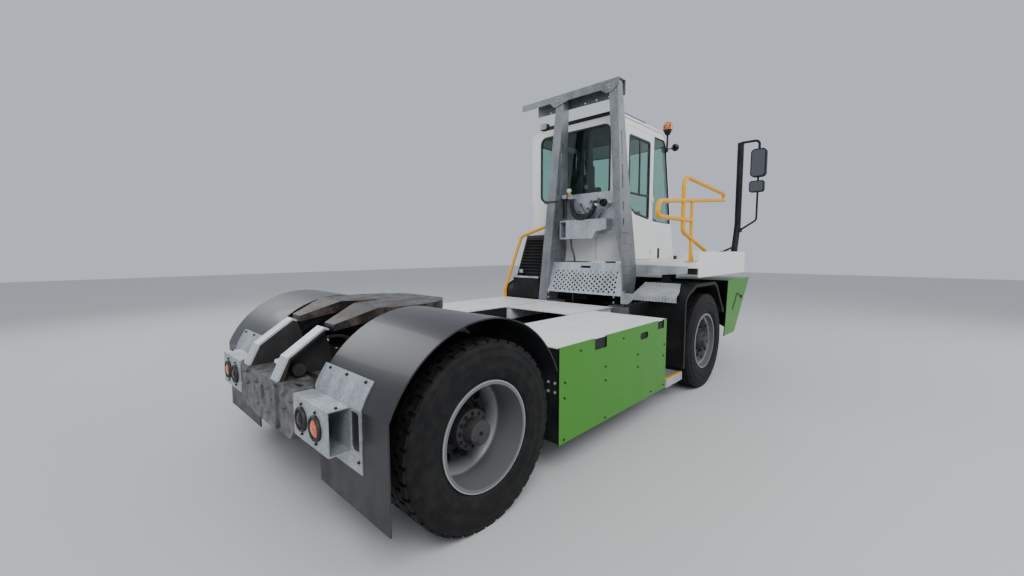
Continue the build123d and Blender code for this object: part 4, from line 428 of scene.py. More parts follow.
# %% Glass, rods and cloth
glass = Finish("cab_tint", (0.50, 0.72, 0.66), 0.02, 0.0, Transmission_Weight=1.0, IOR=1.45)
glass.bump(glass.noise(2.5, 2), 0.0004, 0.05)
dress(glass, "cab_glass", "door_glass")

polished = Finish("polished_rod", (0.75, 0.75, 0.76), 0.14, 1.0)
polished.set("Roughness", 0.1 + polished.noise(30, 4, stretch=(1, 1, 0.1)) * 0.12)
dress(polished, "lift_rods")

cloth = Finish("seat_cloth", (0.03, 0.03, 0.034), 0.9, 0.0, Sheen_Weight=0.3)
weave = cloth.cells(900)
cloth.set("Base Color", cloth.blend(weave, (0.02, 0.02, 0.024), (0.055, 0.055, 0.06)))
cloth.bump(weave, 0.0008, 0.5)
dress(cloth, "seat")

# %% [markdown]
# ## The bench
# Every added piece is made the same way: a primitive is put down, opened in edit mode, and worked with the
# same tools as by hand. These helpers select what a tool shall work on and put a finished piece in its place:
# applied, smooth, painted, and riding on the body that carries it. Places are in millimetres ahead of the
# rear axle, as on a workshop drawing.


# %% Bench helpers
def spot(x, y, z):
    """A place in metres from millimetres ahead of the rear axle."""
    return Vector((REAR + x / 1000, y / 1000, z / 1000))


def clear():
    if bpy.context.object and bpy.context.object.mode != "OBJECT":
        bpy.ops.object.mode_set(mode="OBJECT")
    bpy.ops.object.select_all(action="DESELECT")


def take(piece):
    clear()
    piece.select_set(True)
    bpy.context.view_layer.objects.active = piece


def apply_all(piece):
    take(piece)
    for modifier in list(piece.modifiers):
        bpy.ops.object.modifier_apply(modifier=modifier.name)


def open_up(piece):
    take(piece)
    bpy.ops.object.mode_set(mode="EDIT")


def everything():
    bpy.ops.mesh.select_all(action="SELECT")


def closed():
    """Turns all faces outward and leaves edit mode."""
    everything()
    bpy.ops.mesh.normals_make_consistent(inside=False)
    clear()


def pick(rule, kind="FACE"):
    """Selects the faces (centre, normal), edges (both ends) or corners (place) that the rule accepts."""
    piece = bpy.context.object
    bpy.ops.mesh.select_mode(type=kind)
    bpy.ops.mesh.select_all(action="DESELECT")
    mesh = bmesh.from_edit_mesh(piece.data)
    mesh.normal_update()
    if kind == "FACE":
        for face in mesh.faces:
            face.select_set(bool(rule(face.calc_center_median(), face.normal)))
    if kind == "EDGE":
        for edge in mesh.edges:
            edge.select_set(bool(rule(edge.verts[0].co, edge.verts[1].co)))
    if kind == "VERT":
        for vert in mesh.verts:
            vert.select_set(bool(rule(vert.co)))
    bmesh.update_edit_mesh(piece.data)


def finished(piece, name, finish, body="chassis", smooth=35):
    apply_all(piece)
    bpy.ops.object.transform_apply(location=True, rotation=True, scale=True)
    bpy.ops.object.shade_smooth_by_angle(angle=radians(smooth))
    piece.name = piece.data.name = name
    piece.data.materials.clear()
    piece.data.materials.append(finish.material)
    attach(piece, body)
    clear()
    print(name, "has", len(piece.data.polygons), "faces")
    return piece


def soften(piece, width, segments=2):
    """A bevel modifier for the edges of a piece, applied when the piece is finished."""
    bevel = piece.modifiers.new("edges", "BEVEL")
    bevel.width = width
    bevel.segments = segments
    bevel.limit_method = "ANGLE"
    return piece


def facing(place, direction, turn=0.0):
    """Puts a model that was built upright at this place, its top towards this direction."""
    swing = Vector(direction).to_track_quat("Z", "Y").to_matrix().to_4x4()
    return Matrix.Translation(place) @ swing @ Matrix.Rotation(turn, 4, "Z")


def repeated(model, places, name, finish, body="chassis"):
    """Copies of one model at these places, each with its own mesh, joined into one piece. The model goes."""
    clear()
    twins = []
    for place in places:
        twin = model.copy()
        twin.data = model.data.copy()
        bpy.context.collection.objects.link(twin)
        twin.matrix_world = place
        twins.append(twin)
    for twin in twins:
        twin.select_set(True)
    bpy.context.view_layer.objects.active = twins[0]
    bpy.ops.object.join()
    bpy.data.objects.remove(model)
    return finished(twins[0], name, finish, body)


# %% [markdown]
# ## Flat and round shapes
# Most small parts start as an outline of a few corners. A flat one becomes a sheet or is drawn out to a bar.
# A round one is spun about a line, as on a lathe. An outline's plane is named after the view that shows it.

# %% Shapes from outlines
ACROSS = {"side": (0, 1, 0), "back": (1, 0, 0), "plan": (0, 0, 1)}


def corners(centre_u, centre_v, wide, high):
    u, v = wide / 2, high / 2
    return [(centre_u + a * u, centre_v + b * v) for a, b in ((-1, -1), (1, -1), (1, 1), (-1, 1))]


def sheet_of(points, plane, level):
    """A flat face with these corners: "side" takes (x, z) at y, "back" (y, z) at x, "plan" (x, y) at z."""
    clear()
    bpy.ops.mesh.primitive_circle_add(vertices=len(points), fill_type="NGON")
    piece = bpy.context.object
    for vert, (first, second) in zip(piece.data.vertices, points):
        vert.co = {
            "side": spot(first, level, second),
            "back": spot(level, first, second),
            "plan": spot(first, second, level),
        }[plane]
    open_up(piece)
    everything()
    return piece


def round_off(radius, segments):
    """Rounds the corners of the open sheet."""
    bpy.ops.mesh.bevel(offset=radius / 1000, segments=segments, affect="VERTICES")
    everything()


def draw_out(plane, distance):
    """Extrudes what is selected, so many millimetres across its plane."""
    step = tuple(v * distance / 1000 for v in ACROSS[plane])
    bpy.ops.mesh.extrude_region_move(TRANSFORM_OT_translate={"value": step})


def bar_of(points, plane, low, high):
    """A plate with these corners from one level to the other."""
    piece = sheet_of(points, plane, low)
    draw_out(plane, high - low)
    closed()
    return piece


def spun(places, steps, centre, axis):
    """A closed outline through these places, spun once round a line and left open."""
    clear()
    bpy.ops.mesh.primitive_circle_add(vertices=len(places), fill_type="NOTHING")
    piece = bpy.context.object
    for vert, place in zip(piece.data.vertices, places):
        vert.co = place
    open_up(piece)
    everything()
    bpy.ops.mesh.spin(steps=steps, angle=2 * pi, center=centre, axis=axis)
    everything()
    bpy.ops.mesh.remove_doubles(threshold=0.00005)
    return piece


def ring_of(points, axis_x, axis_z, steps):
    """A closed outline of (y, radius) pairs in millimetres, spun round the Y line through this point."""
    places = [spot(axis_x, y, axis_z + radius) for y, radius in points]
    piece = spun(places, steps, spot(axis_x, 0, axis_z), (0, 1, 0))
    closed()
    return piece


def lathe(points, centre, direction, steps=40):
    """(radius, height) pairs in millimetres, spun round a line that leaves centre in this direction."""
    places = [(radius / 1000, 0, height / 1000) for radius, height in points]
    piece = spun(places, steps, (0, 0, 0), (0, 0, 1))
    bpy.ops.mesh.dissolve_degenerate(threshold=0.00001)
    closed()
    piece.matrix_world = facing(centre, direction)
    return piece


# %% [markdown]
# ## Tyres
# A drive tyre has deep ribs broken by cross grooves, a round shoulder and fine rings on its side where the
# mould halves and the sizes sit. The outline is spun once round the axle with the tread at groove depth, and
# then only the faces of the blocks are picked by their angle and pushed out to the full radius. The steered
# tyres keep whole ribs. No lettering is moulded on.

# %% Tyre shape
TYRE_RADIUS = 515
GROOVE_RADIUS = 502
# faces whose middle is further than this from the axle, in metres, belong to the tread
TREAD_FLOOR = 0.5008
SECTORS = 160
# middle rib, middle rows and outer rows of blocks, from the tyre's centre plane outward
CENTRE_RIB = 24
MIDDLE_ROW = (32, 68)
OUTER_ROW = (76, 119)
SIDE_RINGS = (
    (100, 286.6), (119.5, 288), (119.6, 306), (125, 312), (131, 322), (134, 326), (137, 331), (141, 346),
    (143.4, 364), (145, 368), (145, 373), (143.6, 377), (144.6, 400), (144, 424), (145, 428), (145, 434),
    (142.6, 438), (140, 455), (138, 461), (136, 463), (136, 468), (136.5, 471), (131, 489), (125, 499),
)
HALF_TREAD = [(y, GROOVE_RADIUS) for y in (*reversed(OUTER_ROW), *reversed(MIDDLE_ROW), CENTRE_RIB)]
HALF_OUTLINE = [*SIDE_RINGS, *HALF_TREAD]


def tyre(centre_y, axle_x, blocks):
    outline = HALF_OUTLINE + [(-y, r) for y, r in reversed(HALF_OUTLINE)]
    piece = ring_of([(centre_y + y, r) for y, r in outline], axle_x, TYRE_RADIUS, SECTORS)
    axle = spot(axle_x, 0, TYRE_RADIUS)

    def raised(place, normal):
        """True on a rib or block. Every fourth sector is a cross groove, shifted in the middle rows."""
        across = abs(place.y * 1000 - centre_y)
        if hypot(place.x - axle.x, place.z - axle.z) < TREAD_FLOOR:
            return False
        if across < CENTRE_RIB:
            return True
        sector = int((atan2(place.x - axle.x, place.z - axle.z) / (2 * pi) % 1) * SECTORS)
        for (low, high), shift in ((MIDDLE_ROW, 2), (OUTER_ROW, 0)):
            if low < across < high:
                return not blocks or (sector + shift) % 4 != 0
        return False

    open_up(piece)
    pick(raised)
    rise = (TYRE_RADIUS - GROOVE_RADIUS) / 1000
    bpy.ops.mesh.extrude_region_shrink_fatten(TRANSFORM_OT_shrink_fatten={"value": rise})
    clear()
    return piece


# %% Fit the tyres
OUTER_TWIN, INNER_TWIN, STEERED = 1089, 761, 1078
for side, mark in SIDES:
    outer, inner = tyre(side * OUTER_TWIN, 0, True), tyre(side * INNER_TWIN, 0, True)
    take(outer)
    inner.select_set(True)
    bpy.ops.object.join()
    pair = finished(outer, f"tread_rear_{mark}", rubber, f"{mark}_rear_wheels")
    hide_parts(f"rear_tyres_{mark}")
    single = tyre(side * STEERED, WHEELBASE, False)
    finished(single, f"tread_front_{mark}", rubber, f"{mark}_front_wheel")
    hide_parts(f"front_tyre_{mark}")
    print(mark, "tyre top", round(max(v.co.z for v in pair.data.vertices), 4))

# %% [markdown]
# ## Bolts and nuts
# A hexagon head is a six-sided bar with its top faces drawn in to a chamfer, on a round washer. One bolt is
# modelled at the origin and copied to every place in a short table: where it sits, and which way it looks.


# %% Bolt model
def bolt(radius, height, stud=0):
    """A hexagon head on its washer; stud is the length of bare thread over it, in millimetres."""
    clear()
    low = radius * 0.2
    lift = low + height / 2
    bpy.ops.mesh.primitive_cylinder_add(vertices=6, radius=radius, depth=height, location=(0, 0, lift))
    piece = bpy.context.object
    bpy.ops.object.transform_apply(location=True)
    open_up(piece)
    pick(lambda place, normal: normal.z > 0.9)
    bpy.ops.mesh.inset(thickness=radius * 0.16)
    bpy.ops.transform.translate(value=(0, 0, height * 0.16))
    if stud:
        bpy.ops.mesh.inset(thickness=radius * 0.32)
        draw_out("plan", stud)
    bpy.ops.mesh.primitive_cylinder_add(vertices=12, radius=radius * 1.4, depth=low, location=(0, 0, low / 2))
    clear()
    return piece


def bolts(name, finish, body, radius, table, stud=0):
    """One bolt for each row of the table: place and direction."""
    places = [facing(place, direction, 0.3 * count) for count, (place, direction) in enumerate(table)]
    print(len(table), "bolts:")
    return repeated(bolt(radius, radius * 1.1, stud), places, name, finish, body)


bright = galvanised("bright_bolts", 1.05)
dark_bolt = greasy("dark_bolts", (0.05, 0.047, 0.045), (0.02, 0.018, 0.018), 0.5)

# %% Wheel nuts and hub bolts
NUT_COUNT = 10
NUT_STUD = 14
HUB_BOLT = 0.0085
# wheel and axle X; Y of the nuts, radius of their circle, size; Y of the hub bolts, circle, count, hub cap
WHEELS = (
    ("rear_wheels", 0, (943, 168, 0.0175), (1096, 93, 12, 69)),
    ("front_wheel", WHEELBASE, (1114, 165, 0.0165), (1192, 78, 8, 32)),
)


def circle_of(axle_x, side, y, radius, total, start=0.0):
    """Rows for bolts in a circle round an axle; start is a share of one step."""
    rows = []
    for count in range(total):
        angle = 2 * pi * (count + start) / total
        place = spot(axle_x + radius * cos(angle), side * y, TYRE_RADIUS + radius * sin(angle))
        rows.append((place, (0, side, 0)))
    return rows


for side, mark in SIDES:
    for wheel, axle_x, (nut_y, nut_circle, nut_size), (hub_y, hub_circle, total, cap) in WHEELS:
        body = f"{mark}_{wheel}"
        table = circle_of(axle_x, side, nut_y, nut_circle, NUT_COUNT, 0.5)
        bolts(f"nuts_{body}", dark_bolt, body, nut_size, table, NUT_STUD)
        table = circle_of(axle_x, side, hub_y, hub_circle, total)
        table.append((spot(axle_x, side * (hub_y + cap), TYRE_RADIUS), (0, side, 0)))
        bolts(f"hub_bolts_{body}", dark_bolt, body, HUB_BOLT, table)

# %% Bolts of the tail
BACK, UP = (-1, 0, 0), (0, 0, 1)
ARCH_Z, ARCH_RADIUS, ARCH_TURN = 505, 652.4, radians(145.6)
LAMP_Y, LAMP_Z = (590, 760), 647
out = (cos(ARCH_TURN), 0, sin(ARCH_TURN))
table = []
for side, mark in SIDES:
    for y in (560, 750, 945):
        table.append((spot(ARCH_RADIUS * out[0], side * y, ARCH_Z + ARCH_RADIUS * out[2]), out))
    for y in LAMP_Y:
        table += [(spot(-707, side * y, LAMP_Z + step), BACK) for step in (-78, 78)]
    table += [(spot(-655, side * 868, 757), UP), (spot(-600, side * 975, 510), BACK)]
bolts("bracket_bolts", dark_bolt, "chassis", 0.0065, table)

TOW_BOLTS = ((-95, 700), (95, 700), (-95, 560), (95, 560))
WING_BOLTS = ((330, 715), (330, 640), (430, 700))
table = [(spot(-715, y, z), BACK) for y, z in TOW_BOLTS]
table += [(spot(-700, side * y, z), BACK) for side in (-1, 1) for y, z in WING_BOLTS]
bolts("tow_plate_bolts", tail_steel, "chassis", 0.0095, table, 5)

# %% Bolts of the covers
COVER_Y = 1225
LEFT_SHIFT = 60
COVER_BOLTS = (
    (855, 831), (1177, 657), (1180, 554), (1438, 826), (1679, 656), (1685, 552), (678, 651), (674, 549),
    (669, 274), (1182, 273), (2177, 558), (2188, 659), (2188, 285), (1938, 282),
)
table = [(spot(x, -COVER_Y, z), (0, -1, 0)) for x, z in COVER_BOLTS]
table += [(spot(x + LEFT_SHIFT, COVER_Y, z), (0, 1, 0)) for x, z in COVER_BOLTS]
bolts("cover_bolts", dark_bolt, "chassis", 0.006, table)
table = [(spot(626, side * y, z), BACK) for side in (-1, 1) for y in (1130, 1185) for z in (590, 650)]
bolts("box_bolts", bright, "chassis", 0.008, table)

# %% Bolts of the headboard
POST_FOOT, POST_LEAN = 890, 0.0244
BEAM_PLATES = ((390, 3306), (-296, 3283))
square = [(y, z) for y in (-16, 16) for z in (-16, 16)]
table = [(spot(2703, y + step_y, z + step_z), BACK) for y, z in BEAM_PLATES for step_y, step_z in square]
table += [(spot(2656 + (z - POST_FOOT) * POST_LEAN, y, z), BACK) for y in (470, -440) for z in (930, 990)]
bolts("headboard_bolts", bright, "chassis", 0.008, table)

# %% [markdown]
# ## Rivets
# The middle deck sheet is riveted down along both edges, and the dotted line shows from afar. A rivet is the
# top of a ball, flattened.

# %% Deck rivets
DECK_TOP = 886
clear()
bpy.ops.mesh.primitive_uv_sphere_add(segments=10, ring_count=6, radius=0.006)
rivet = bpy.context.object
open_up(rivet)
pick(lambda place: place.z < -0.0002, "VERT")
bpy.ops.mesh.delete(type="VERT")
everything()
bpy.ops.transform.resize(value=(1, 1, 0.45))
clear()
places = [facing(spot(x, side * 440, DECK_TOP), UP) for side in (-1, 1) for x in range(1865, 2620, 32)]
places += [facing(spot(1864, y, DECK_TOP), UP) for y in range(-400, 401, 80)]
repeated(rivet, places, "deck_rivets", dark_bolt)
print("rivets", len(places))

# %% [markdown]
# ## Rear lamps
# Each lamp is a round lens in a rubber ring. The lens is a shallow dome with pressed rings inside its rim.
# The outer one is the orange indicator, the inner one a red so dark that it looks black when it is off.

# %% Lamp finishes
rubber_seal = Finish("seal_rubber", (0.012, 0.012, 0.013), 0.55)
faded = rubber_seal.noise(40, 3)
rubber_seal.set("Base Color", rubber_seal.blend(faded, (0.009, 0.009, 0.01), (0.026, 0.025, 0.024)))
rubber_seal.bump(rubber_seal.noise(300, 2), 0.0003, 0.3)


def lens_finish(name, colour, deep):
    lens = Finish(name, colour, 0.12, 0.0, Coat_Weight=0.7, Coat_Roughness=0.05)
    facets = lens.cells(240)
    lens.set("Base Color", lens.blend(facets.above(0.1, 0.6), colour, deep))
    lens.set("Roughness", 0.1 + lens.noise(30, 3) * 0.1)
    lens.bump(facets, 0.0012, 0.5)
    return lens


amber = lens_finish("amber_lens", (0.95, 0.17, 0.012), (0.6, 0.07, 0.006))
dark_red = lens_finish("red_lens", (0.035, 0.003, 0.003), (0.014, 0.002, 0.002))
dark_red.set("Specular IOR Level", 0.15)
dark_red.set("Coat Weight", 0.0)
clear_lens = lens_finish("headlamp_lens", (0.62, 0.64, 0.66), (0.30, 0.31, 0.33))
print("lens finishes", amber.material.name, dark_red.material.name, clear_lens.material.name)

# %% Lamp shapes
LENS = ((0, 0), (0, 14), (14, 13.5), (15, 12), (28, 11), (29, 9), (41, 7), (46, 3), (47, 0))
COLLAR = ((47, 0), (48, 8), (52, 11), (60, 10), (64, 5), (64.5, 0))
for side, mark in SIDES:
    for y, kind, finish in zip(LAMP_Y, ("inner", "outer"), (dark_red, amber)):
        centre = spot(-713.2, side * y, LAMP_Z)
        finished(lathe(LENS, centre, BACK), f"lens_{kind}_{mark}", finish)
        finished(lathe(COLLAR, centre, BACK), f"collar_{kind}_{mark}", rubber_seal)

# %% [markdown]
# ## Window seals
# Cab glass is held by a black rubber profile. Its outline is the window's opening: a flat face with these
# corners, the corners rounded by a vertex bevel, an inset for the width of the rubber, the middle thrown away
# and the ring drawn out through the wall.


# %% Seals
def seal(name, points, plane, level, width, corner, depth, body="cab"):
    piece = sheet_of(points, plane, level)
    round_off(corner, 7)
    bpy.ops.mesh.inset(thickness=width / 1000)
    bpy.ops.mesh.delete(type="FACE")
    everything()
    draw_out(plane, depth)
    closed()
    return finished(soften(piece, 0.0025), name, rubber_seal, body)


QUARTER = [(3800, 1885), (3800, 2960), (4108, 2960), (4165, 2860), (4360, 1870)]
DOOR_PANE = [(3140, 2870), (3700, 2870), (3700, 1896), (3310, 1945), (3200, 2010), (3140, 2110)]
seal("seal_rear_window", corners(357, 2570, 1060, 854), "back", 2996, 24, 96, 20)
seal("seal_left_window", corners(3430, 2550, 624, 804), "side", 1014, 24, 60, 20)
seal("seal_quarter_left", QUARTER, "side", 1014, 12, 28, 18)
seal("seal_quarter_right", QUARTER, "side", -332, 12, 28, 18)
seal("seal_door_window", DOOR_PANE, "side", -334, 27, 40, 22, "cab_door")

# %% [markdown]
# ## Sliding panes
# The door window and the left window each have a sliding half in a thin black frame: an upright where the
# panes meet and, on the door, a rail under them over the fixed lower glass. A block with faintly rounded
# edges does for these and for many small parts further on.


# %% Blocks and window bars
def block(name, points, plane, low, high, body="chassis", finish=rubber_seal):
    return finished(soften(bar_of(points, plane, low, high), 0.003), name, finish, body)


block("door_pane_upright", corners(3432, 2530, 26, 664), "side", -330, -312, "cab_door")
block("door_pane_rail", corners(3420, 2192, 536, 26), "side", -331, -313, "cab_door")
block("left_pane_upright", corners(3430, 2550, 30, 770), "side", 1012, 1029, "cab")
block("left_pane_catch", corners(3462, 2460, 18, 90), "side", 1004, 1013, "cab")
block("door_latch", corners(3112, 1925, 34, 150), "side", -352, -331, "cab_door", plastic)

# %% [markdown]
# ## Windscreen seal
# The windscreen is bowed, so its seal follows a curve: a round profile on a closed line, made a mesh. The
# line runs along the sill, up the corner, back along the head and down again.

# %% Bowed seal
BOW_HALF, BOW_DEEP, BOW_MIDDLE = 680, 110, 350
BOW_RADIUS = (BOW_HALF**2 + BOW_DEEP**2) / (2 * BOW_DEEP)
CORNER_FOOT, CORNER_HEAD = (4390, 1880), (4180, 2890)
SEAL_SILL, SEAL_HEAD = 1880, 2900
SEAL_RIGHT, SEAL_LEFT = -275, 975


def bow(y, z):
    """The cab's front at this place across it, on the line that leans back with the height."""
    (low_x, low_z), (high_x, high_z) = CORNER_FOOT, CORNER_HEAD
    corner = low_x + (high_x - low_x) * (z - low_z) / (high_z - low_z)
    return corner + BOW_DEEP - BOW_RADIUS + (BOW_RADIUS**2 - (y - BOW_MIDDLE) ** 2) ** 0.5


def smooth_line(name, points, order, resolution, closed_line=False):
    """A NURBS curve through space that these places steer."""
    data = bpy.data.curves.new(name, "CURVE")
    data.dimensions = "3D"
    spline = data.splines.new("NURBS")
    spline.points.add(len(points) - 1)
    for point, place in zip(spline.points, points):
        point.co = (*place, 1)
    spline.order_u = order
    spline.use_endpoint_u = not closed_line
    spline.use_cyclic_u = closed_line
    spline.resolution_u = resolution
    return bpy.data.objects.new(name, data)


def line_piece(name, points, radius, finish, body="chassis", closed_line=False, order=4, facets=3):
    """A round bar that follows a smooth line, made a mesh."""
    clear()
    piece = smooth_line(name, points, order, 6, closed_line)
    piece.data.bevel_depth = radius
    piece.data.bevel_resolution = facets
    piece.data.use_fill_caps = True
    bpy.context.collection.objects.link(piece)
    take(piece)
    bpy.ops.object.convert(target="MESH")
    return finished(bpy.context.object, name, finish, body, 50)


rim = [(y, SEAL_SILL) for y in range(SEAL_RIGHT, SEAL_LEFT + 1, 125)]
rim += [(SEAL_LEFT, z) for z in range(1950, 2851, 150)]
rim += [(y, SEAL_HEAD) for y in range(SEAL_LEFT, SEAL_RIGHT - 1, -125)]
rim += [(SEAL_RIGHT, z) for z in range(2850, 1949, -150)]
rim = [spot(bow(y, z) - 4, y, z) for y, z in rim]
line_piece("seal_windscreen", rim, 0.011, rubber_seal, "cab", True, 3)

# %% [markdown]
# ## Wipers
# Two wipers lie on the sill of the windscreen: an arm from its spindle and a blade across it.

# %% Wiper pair
WIPER_BOSS = ((0, 0), (16, 0), (16, 12), (9, 20), (0, 20))
SPINDLE_Z = 1850
for count, (foot_y, tip_y) in enumerate(((150, 480), (720, 940))):
    foot = spot(bow(foot_y, SPINDLE_Z) + 14, foot_y, SPINDLE_Z)
    middle_y = (foot_y + tip_y) / 2
    elbow = spot(bow(middle_y, 1960) + 26, middle_y - 60, 1960)
    arm = [foot, elbow, spot(bow(tip_y, 2050) + 14, tip_y - 90, 2060)]
    line_piece(f"wiper_arm_{count}", arm, 0.006, plastic, "cab")
    along = ((foot_y - 40, 1935), (middle_y, 2045), (min(tip_y, 900), 2180))
    blade = [spot(bow(y, z) + 7, y, z) for y, z in along]
    line_piece(f"wiper_blade_{count}", blade, 0.008, rubber_seal, "cab")
    boss = lathe(WIPER_BOSS, foot - Vector((0.012, 0, 0)), (1, 0, 0.2), 20)
    finished(boss, f"wiper_boss_{count}", plastic, "cab")

# %% [markdown]
# ## Small work on the cab
# A black grille sits in the pocket beside the door, a gutter of thin sheet runs over the windows, a rubber
# stop stands on the platform, and a black line closes the gap under the shell.

# %% Grille, gutter, stop
SLATS, SLAT_STEP = 9, 0.0145
GUTTER = [(3010, 3030), (4040, 3030), (4110, 2990), (4116, 3002), (4046, 3043), (3010, 3043)]
block("vent_frame", corners(4010, 1470, 64, 134), "side", -324, -321, "cab", plastic)
slat = bar_of(corners(4010, 1412, 58, 9), "side", -331, -323)
places = [Matrix.Translation((0, 0, count * SLAT_STEP)) for count in range(SLATS)]
repeated(slat, places, "vent_slats", plastic, "cab")
block("gutter_right", GUTTER, "side", -344, -331, "cab", white)
block("gutter_left", GUTTER, "side", 1031, 1044, "cab", white)
block("platform_stop", corners(4420, 1410, 46, 50), "side", -410, -375)
block("sill_rubber_right", corners(3400, 1380, 780, 12), "side", -334, -329, "cab")
block("rear_seam", corners(10, 1560, 5, 330), "back", 2998.5, 3000.5, "cab")

# %% [markdown]
# ## Inside the cab
# Through the tinted panes a dark pillar trim stands at the left wall, a headliner closes the roof, and a
# display leans on the dash.

# %% Interior trim
FRONT_TRIM = [(4200, 1860), (4235, 1860), (4120, 2880), (4085, 2880)]
block("pillar_trim", corners(3850, 2420, 190, 1080), "side", 968, 984, "cab", plastic)
block("front_pillar_trim", FRONT_TRIM, "side", 962, 984, "cab", plastic)
block("headliner", corners(3560, 3034, 1000, 8), "side", -270, 970, "cab", plastic)
display = bar_of(corners(120, 1995, 190, 130), "back", 4150, 4172)
finished(soften(display, 0.008, 3), "display", plastic, "cab")
block("display_foot", corners(120, 1920, 26, 60), "back", 4155, 4168, "cab", plastic)

# %% [markdown]
# ## The gathered curtain
# In the middle of the rear window hangs a black curtain, pushed together into narrow folds and parted at the
# foot into two tails. A grid is put down flat and every point is moved to its place on the wavy cloth, which
# keeps the cloth's width: the folds are as deep as the gathered width needs.

# %% Curtain
CURTAIN_X = 3052
CURTAIN_TOP, CURTAIN_FOOT = 3008, 2190
FOLDS = 4
FOLD_DEEP = 15


def length_of(line):
    return sum((second - first).length for first, second in zip(line, line[1:]))


def fold_x(across, turn=0.0):
    """How far ahead the wavy cloth is at this share of its width."""
    return CURTAIN_X + FOLD_DEEP * sin(2 * pi * FOLDS * across + turn)


def curtain(name, top_from, top_to, foot_from, foot_to):
    clear()
    bpy.ops.mesh.primitive_grid_add(x_subdivisions=FOLDS * 12, y_subdivisions=24, size=1)
    piece = bpy.context.object
    for vert in piece.data.vertices:
        across, down = vert.co.x + 0.5, 0.5 - vert.co.y
        drift = down * down
        start = top_from + (foot_from - top_from) * drift
        stop = top_to + (foot_to - top_to) * drift
        height = CURTAIN_TOP + (CURTAIN_FOOT - CURTAIN_TOP) * down
        vert.co = spot(fold_x(across, 1.3 * down), start + (stop - start) * across, height)
    shares = [k / 200 for k in range(201)]
    width = length_of([spot(fold_x(share), top_from + (top_to - top_from) * share, 0) for share in shares])
    finished(piece, name, cloth, "cab", 60)
    print(name, "cut", round(width, 3), "wide")


curtain("curtain_right", 120, 222, 62, 150)
curtain("curtain_left", 228, 335, 255, 372)
block("curtain_rail", corners(240, 3014, 420, 10), "back", 3030, 3074, "cab", plastic)

# %% [markdown]
# ## Mirrors, beacon and lamps
# A mirror is a thin pane of silvered glass let into its dark housing, facing back. The beacon's dome is
# ribbed amber plastic, turned as one profile. The work lamp and the head lamps have a flat lens whose face is
# set off by a small step.

# %% Mirror glass
silvered = Finish("silvered_glass", (0.16, 0.17, 0.18), 0.03, 1.0)
silvered.set("Roughness", 0.02 + silvered.noise(8, 3) * 0.04)
silvered.bump(silvered.noise(3, 1), 0.0002, 0.05)
ROUND_PANE = ((0, 0), (42, 0), (42, 2), (0, 2))


def mirror_pane(name, centre_y, centre_z, wide, high, corner, level):
    piece = sheet_of(corners(centre_y, centre_z, wide, high), "back", level)
    round_off(corner, 6)
    draw_out("back", -2)
    closed()
    return finished(piece, name, silvered)


for side, mark in SIDES:
    mirror_pane(f"mirror_glass_{mark}", side * 1336.5, 2610, 150, 326, 38, 4605.5)
    mirror_pane(f"mirror_small_{mark}", side * 1326.5, 2317, 146, 121, 22, 4611.5)
finished(lathe(ROUND_PANE, spot(4285, -399, 2895), BACK), "mirror_round", silvered, "cab")

# %% Beacon dome
DOME = [(0, 104.5), (20, 104), (38, 100), (48, 94), (52, 86), (59, 55), (59, 4), (61, 2), (61, 0), (0, 0)]
DOME_STEPS = 48
dome = lathe(DOME, spot(4165, -344, 3106), UP, DOME_STEPS)
open_up(dome)


def every_other(place, normal):
    """True on every second strip of the dome's wall."""
    strip = int(round(degrees(atan2(place.y, place.x)) / (360 / DOME_STEPS)))
    return abs(normal.z) < 0.4 and strip % 2 == 0


pick(every_other)
bpy.ops.mesh.extrude_region_shrink_fatten(TRANSFORM_OT_shrink_fatten={"value": -0.0015})
clear()
beacon_amber = lens_finish("beacon_amber", (0.90, 0.30, 0.012), (0.55, 0.14, 0.006))
finished(dome, "beacon_dome", beacon_amber, "cab")


# %% Work lamp, head lamps and side lamps
def flat_lens(name, outline, level, corner, rise, rim, body="chassis"):
    """A lens that stands off its lamp by rise, its face a step of 2 mm further, inside a rim."""
    piece = sheet_of(outline, "back", level)
    round_off(corner, 5)
    draw_out("back", rise)
    bpy.ops.mesh.inset(thickness=rim / 1000, depth=0.002 if rise > 0 else -0.002)
    closed()
    finished(piece, name, clear_lens, body)


CABLE = [
    (4505, 930), (4400, 972), (4330, 965), (4290, 900), (4180, 780), (4200, 764), (4315, 885), (4350, 940),
    (4400, 950), (4500, 912),
]
flat_lens("work_lamp_glass", corners(900, 3165, 104, 64), 3075, 14, -4, 6, "cab")
for side, mark in SIDES:
    flat_lens(f"headlamp_glass_{mark}", corners(side * 720, 850, 186, 116), 4937, 26, 3, 10)
    skin = side * 1243.5
    block(f"side_lamp_{mark}", corners(4550, 910, 56, 26), "side", skin - 1, skin + 1, finish=amber)
    block(f"lamp_cable_{mark}", CABLE, "side", *sorted((side * 1225.2, side * 1229)))

# %% [markdown]
# ## Coiled air lines
# The lines between the posts are springs of nylon tube. Each one's route is a smooth NURBS line through the
# same places as its solid. The route is read back as points, and the helix is wound round it: a frame is
# carried along the route, and a circle turns in it once for every pitch.


# %% Routes and helices
def route_line(points):
    """Points of the smooth line of order 3 that these places steer."""
    carrier = smooth_line("route", points, min(3, len(points)), 24)
    mesh = bpy.data.meshes.new_from_object(carrier)
    line = [v.co.copy() for v in mesh.vertices]
    bpy.data.objects.remove(carrier)
    bpy.data.meshes.remove(mesh)
    return line


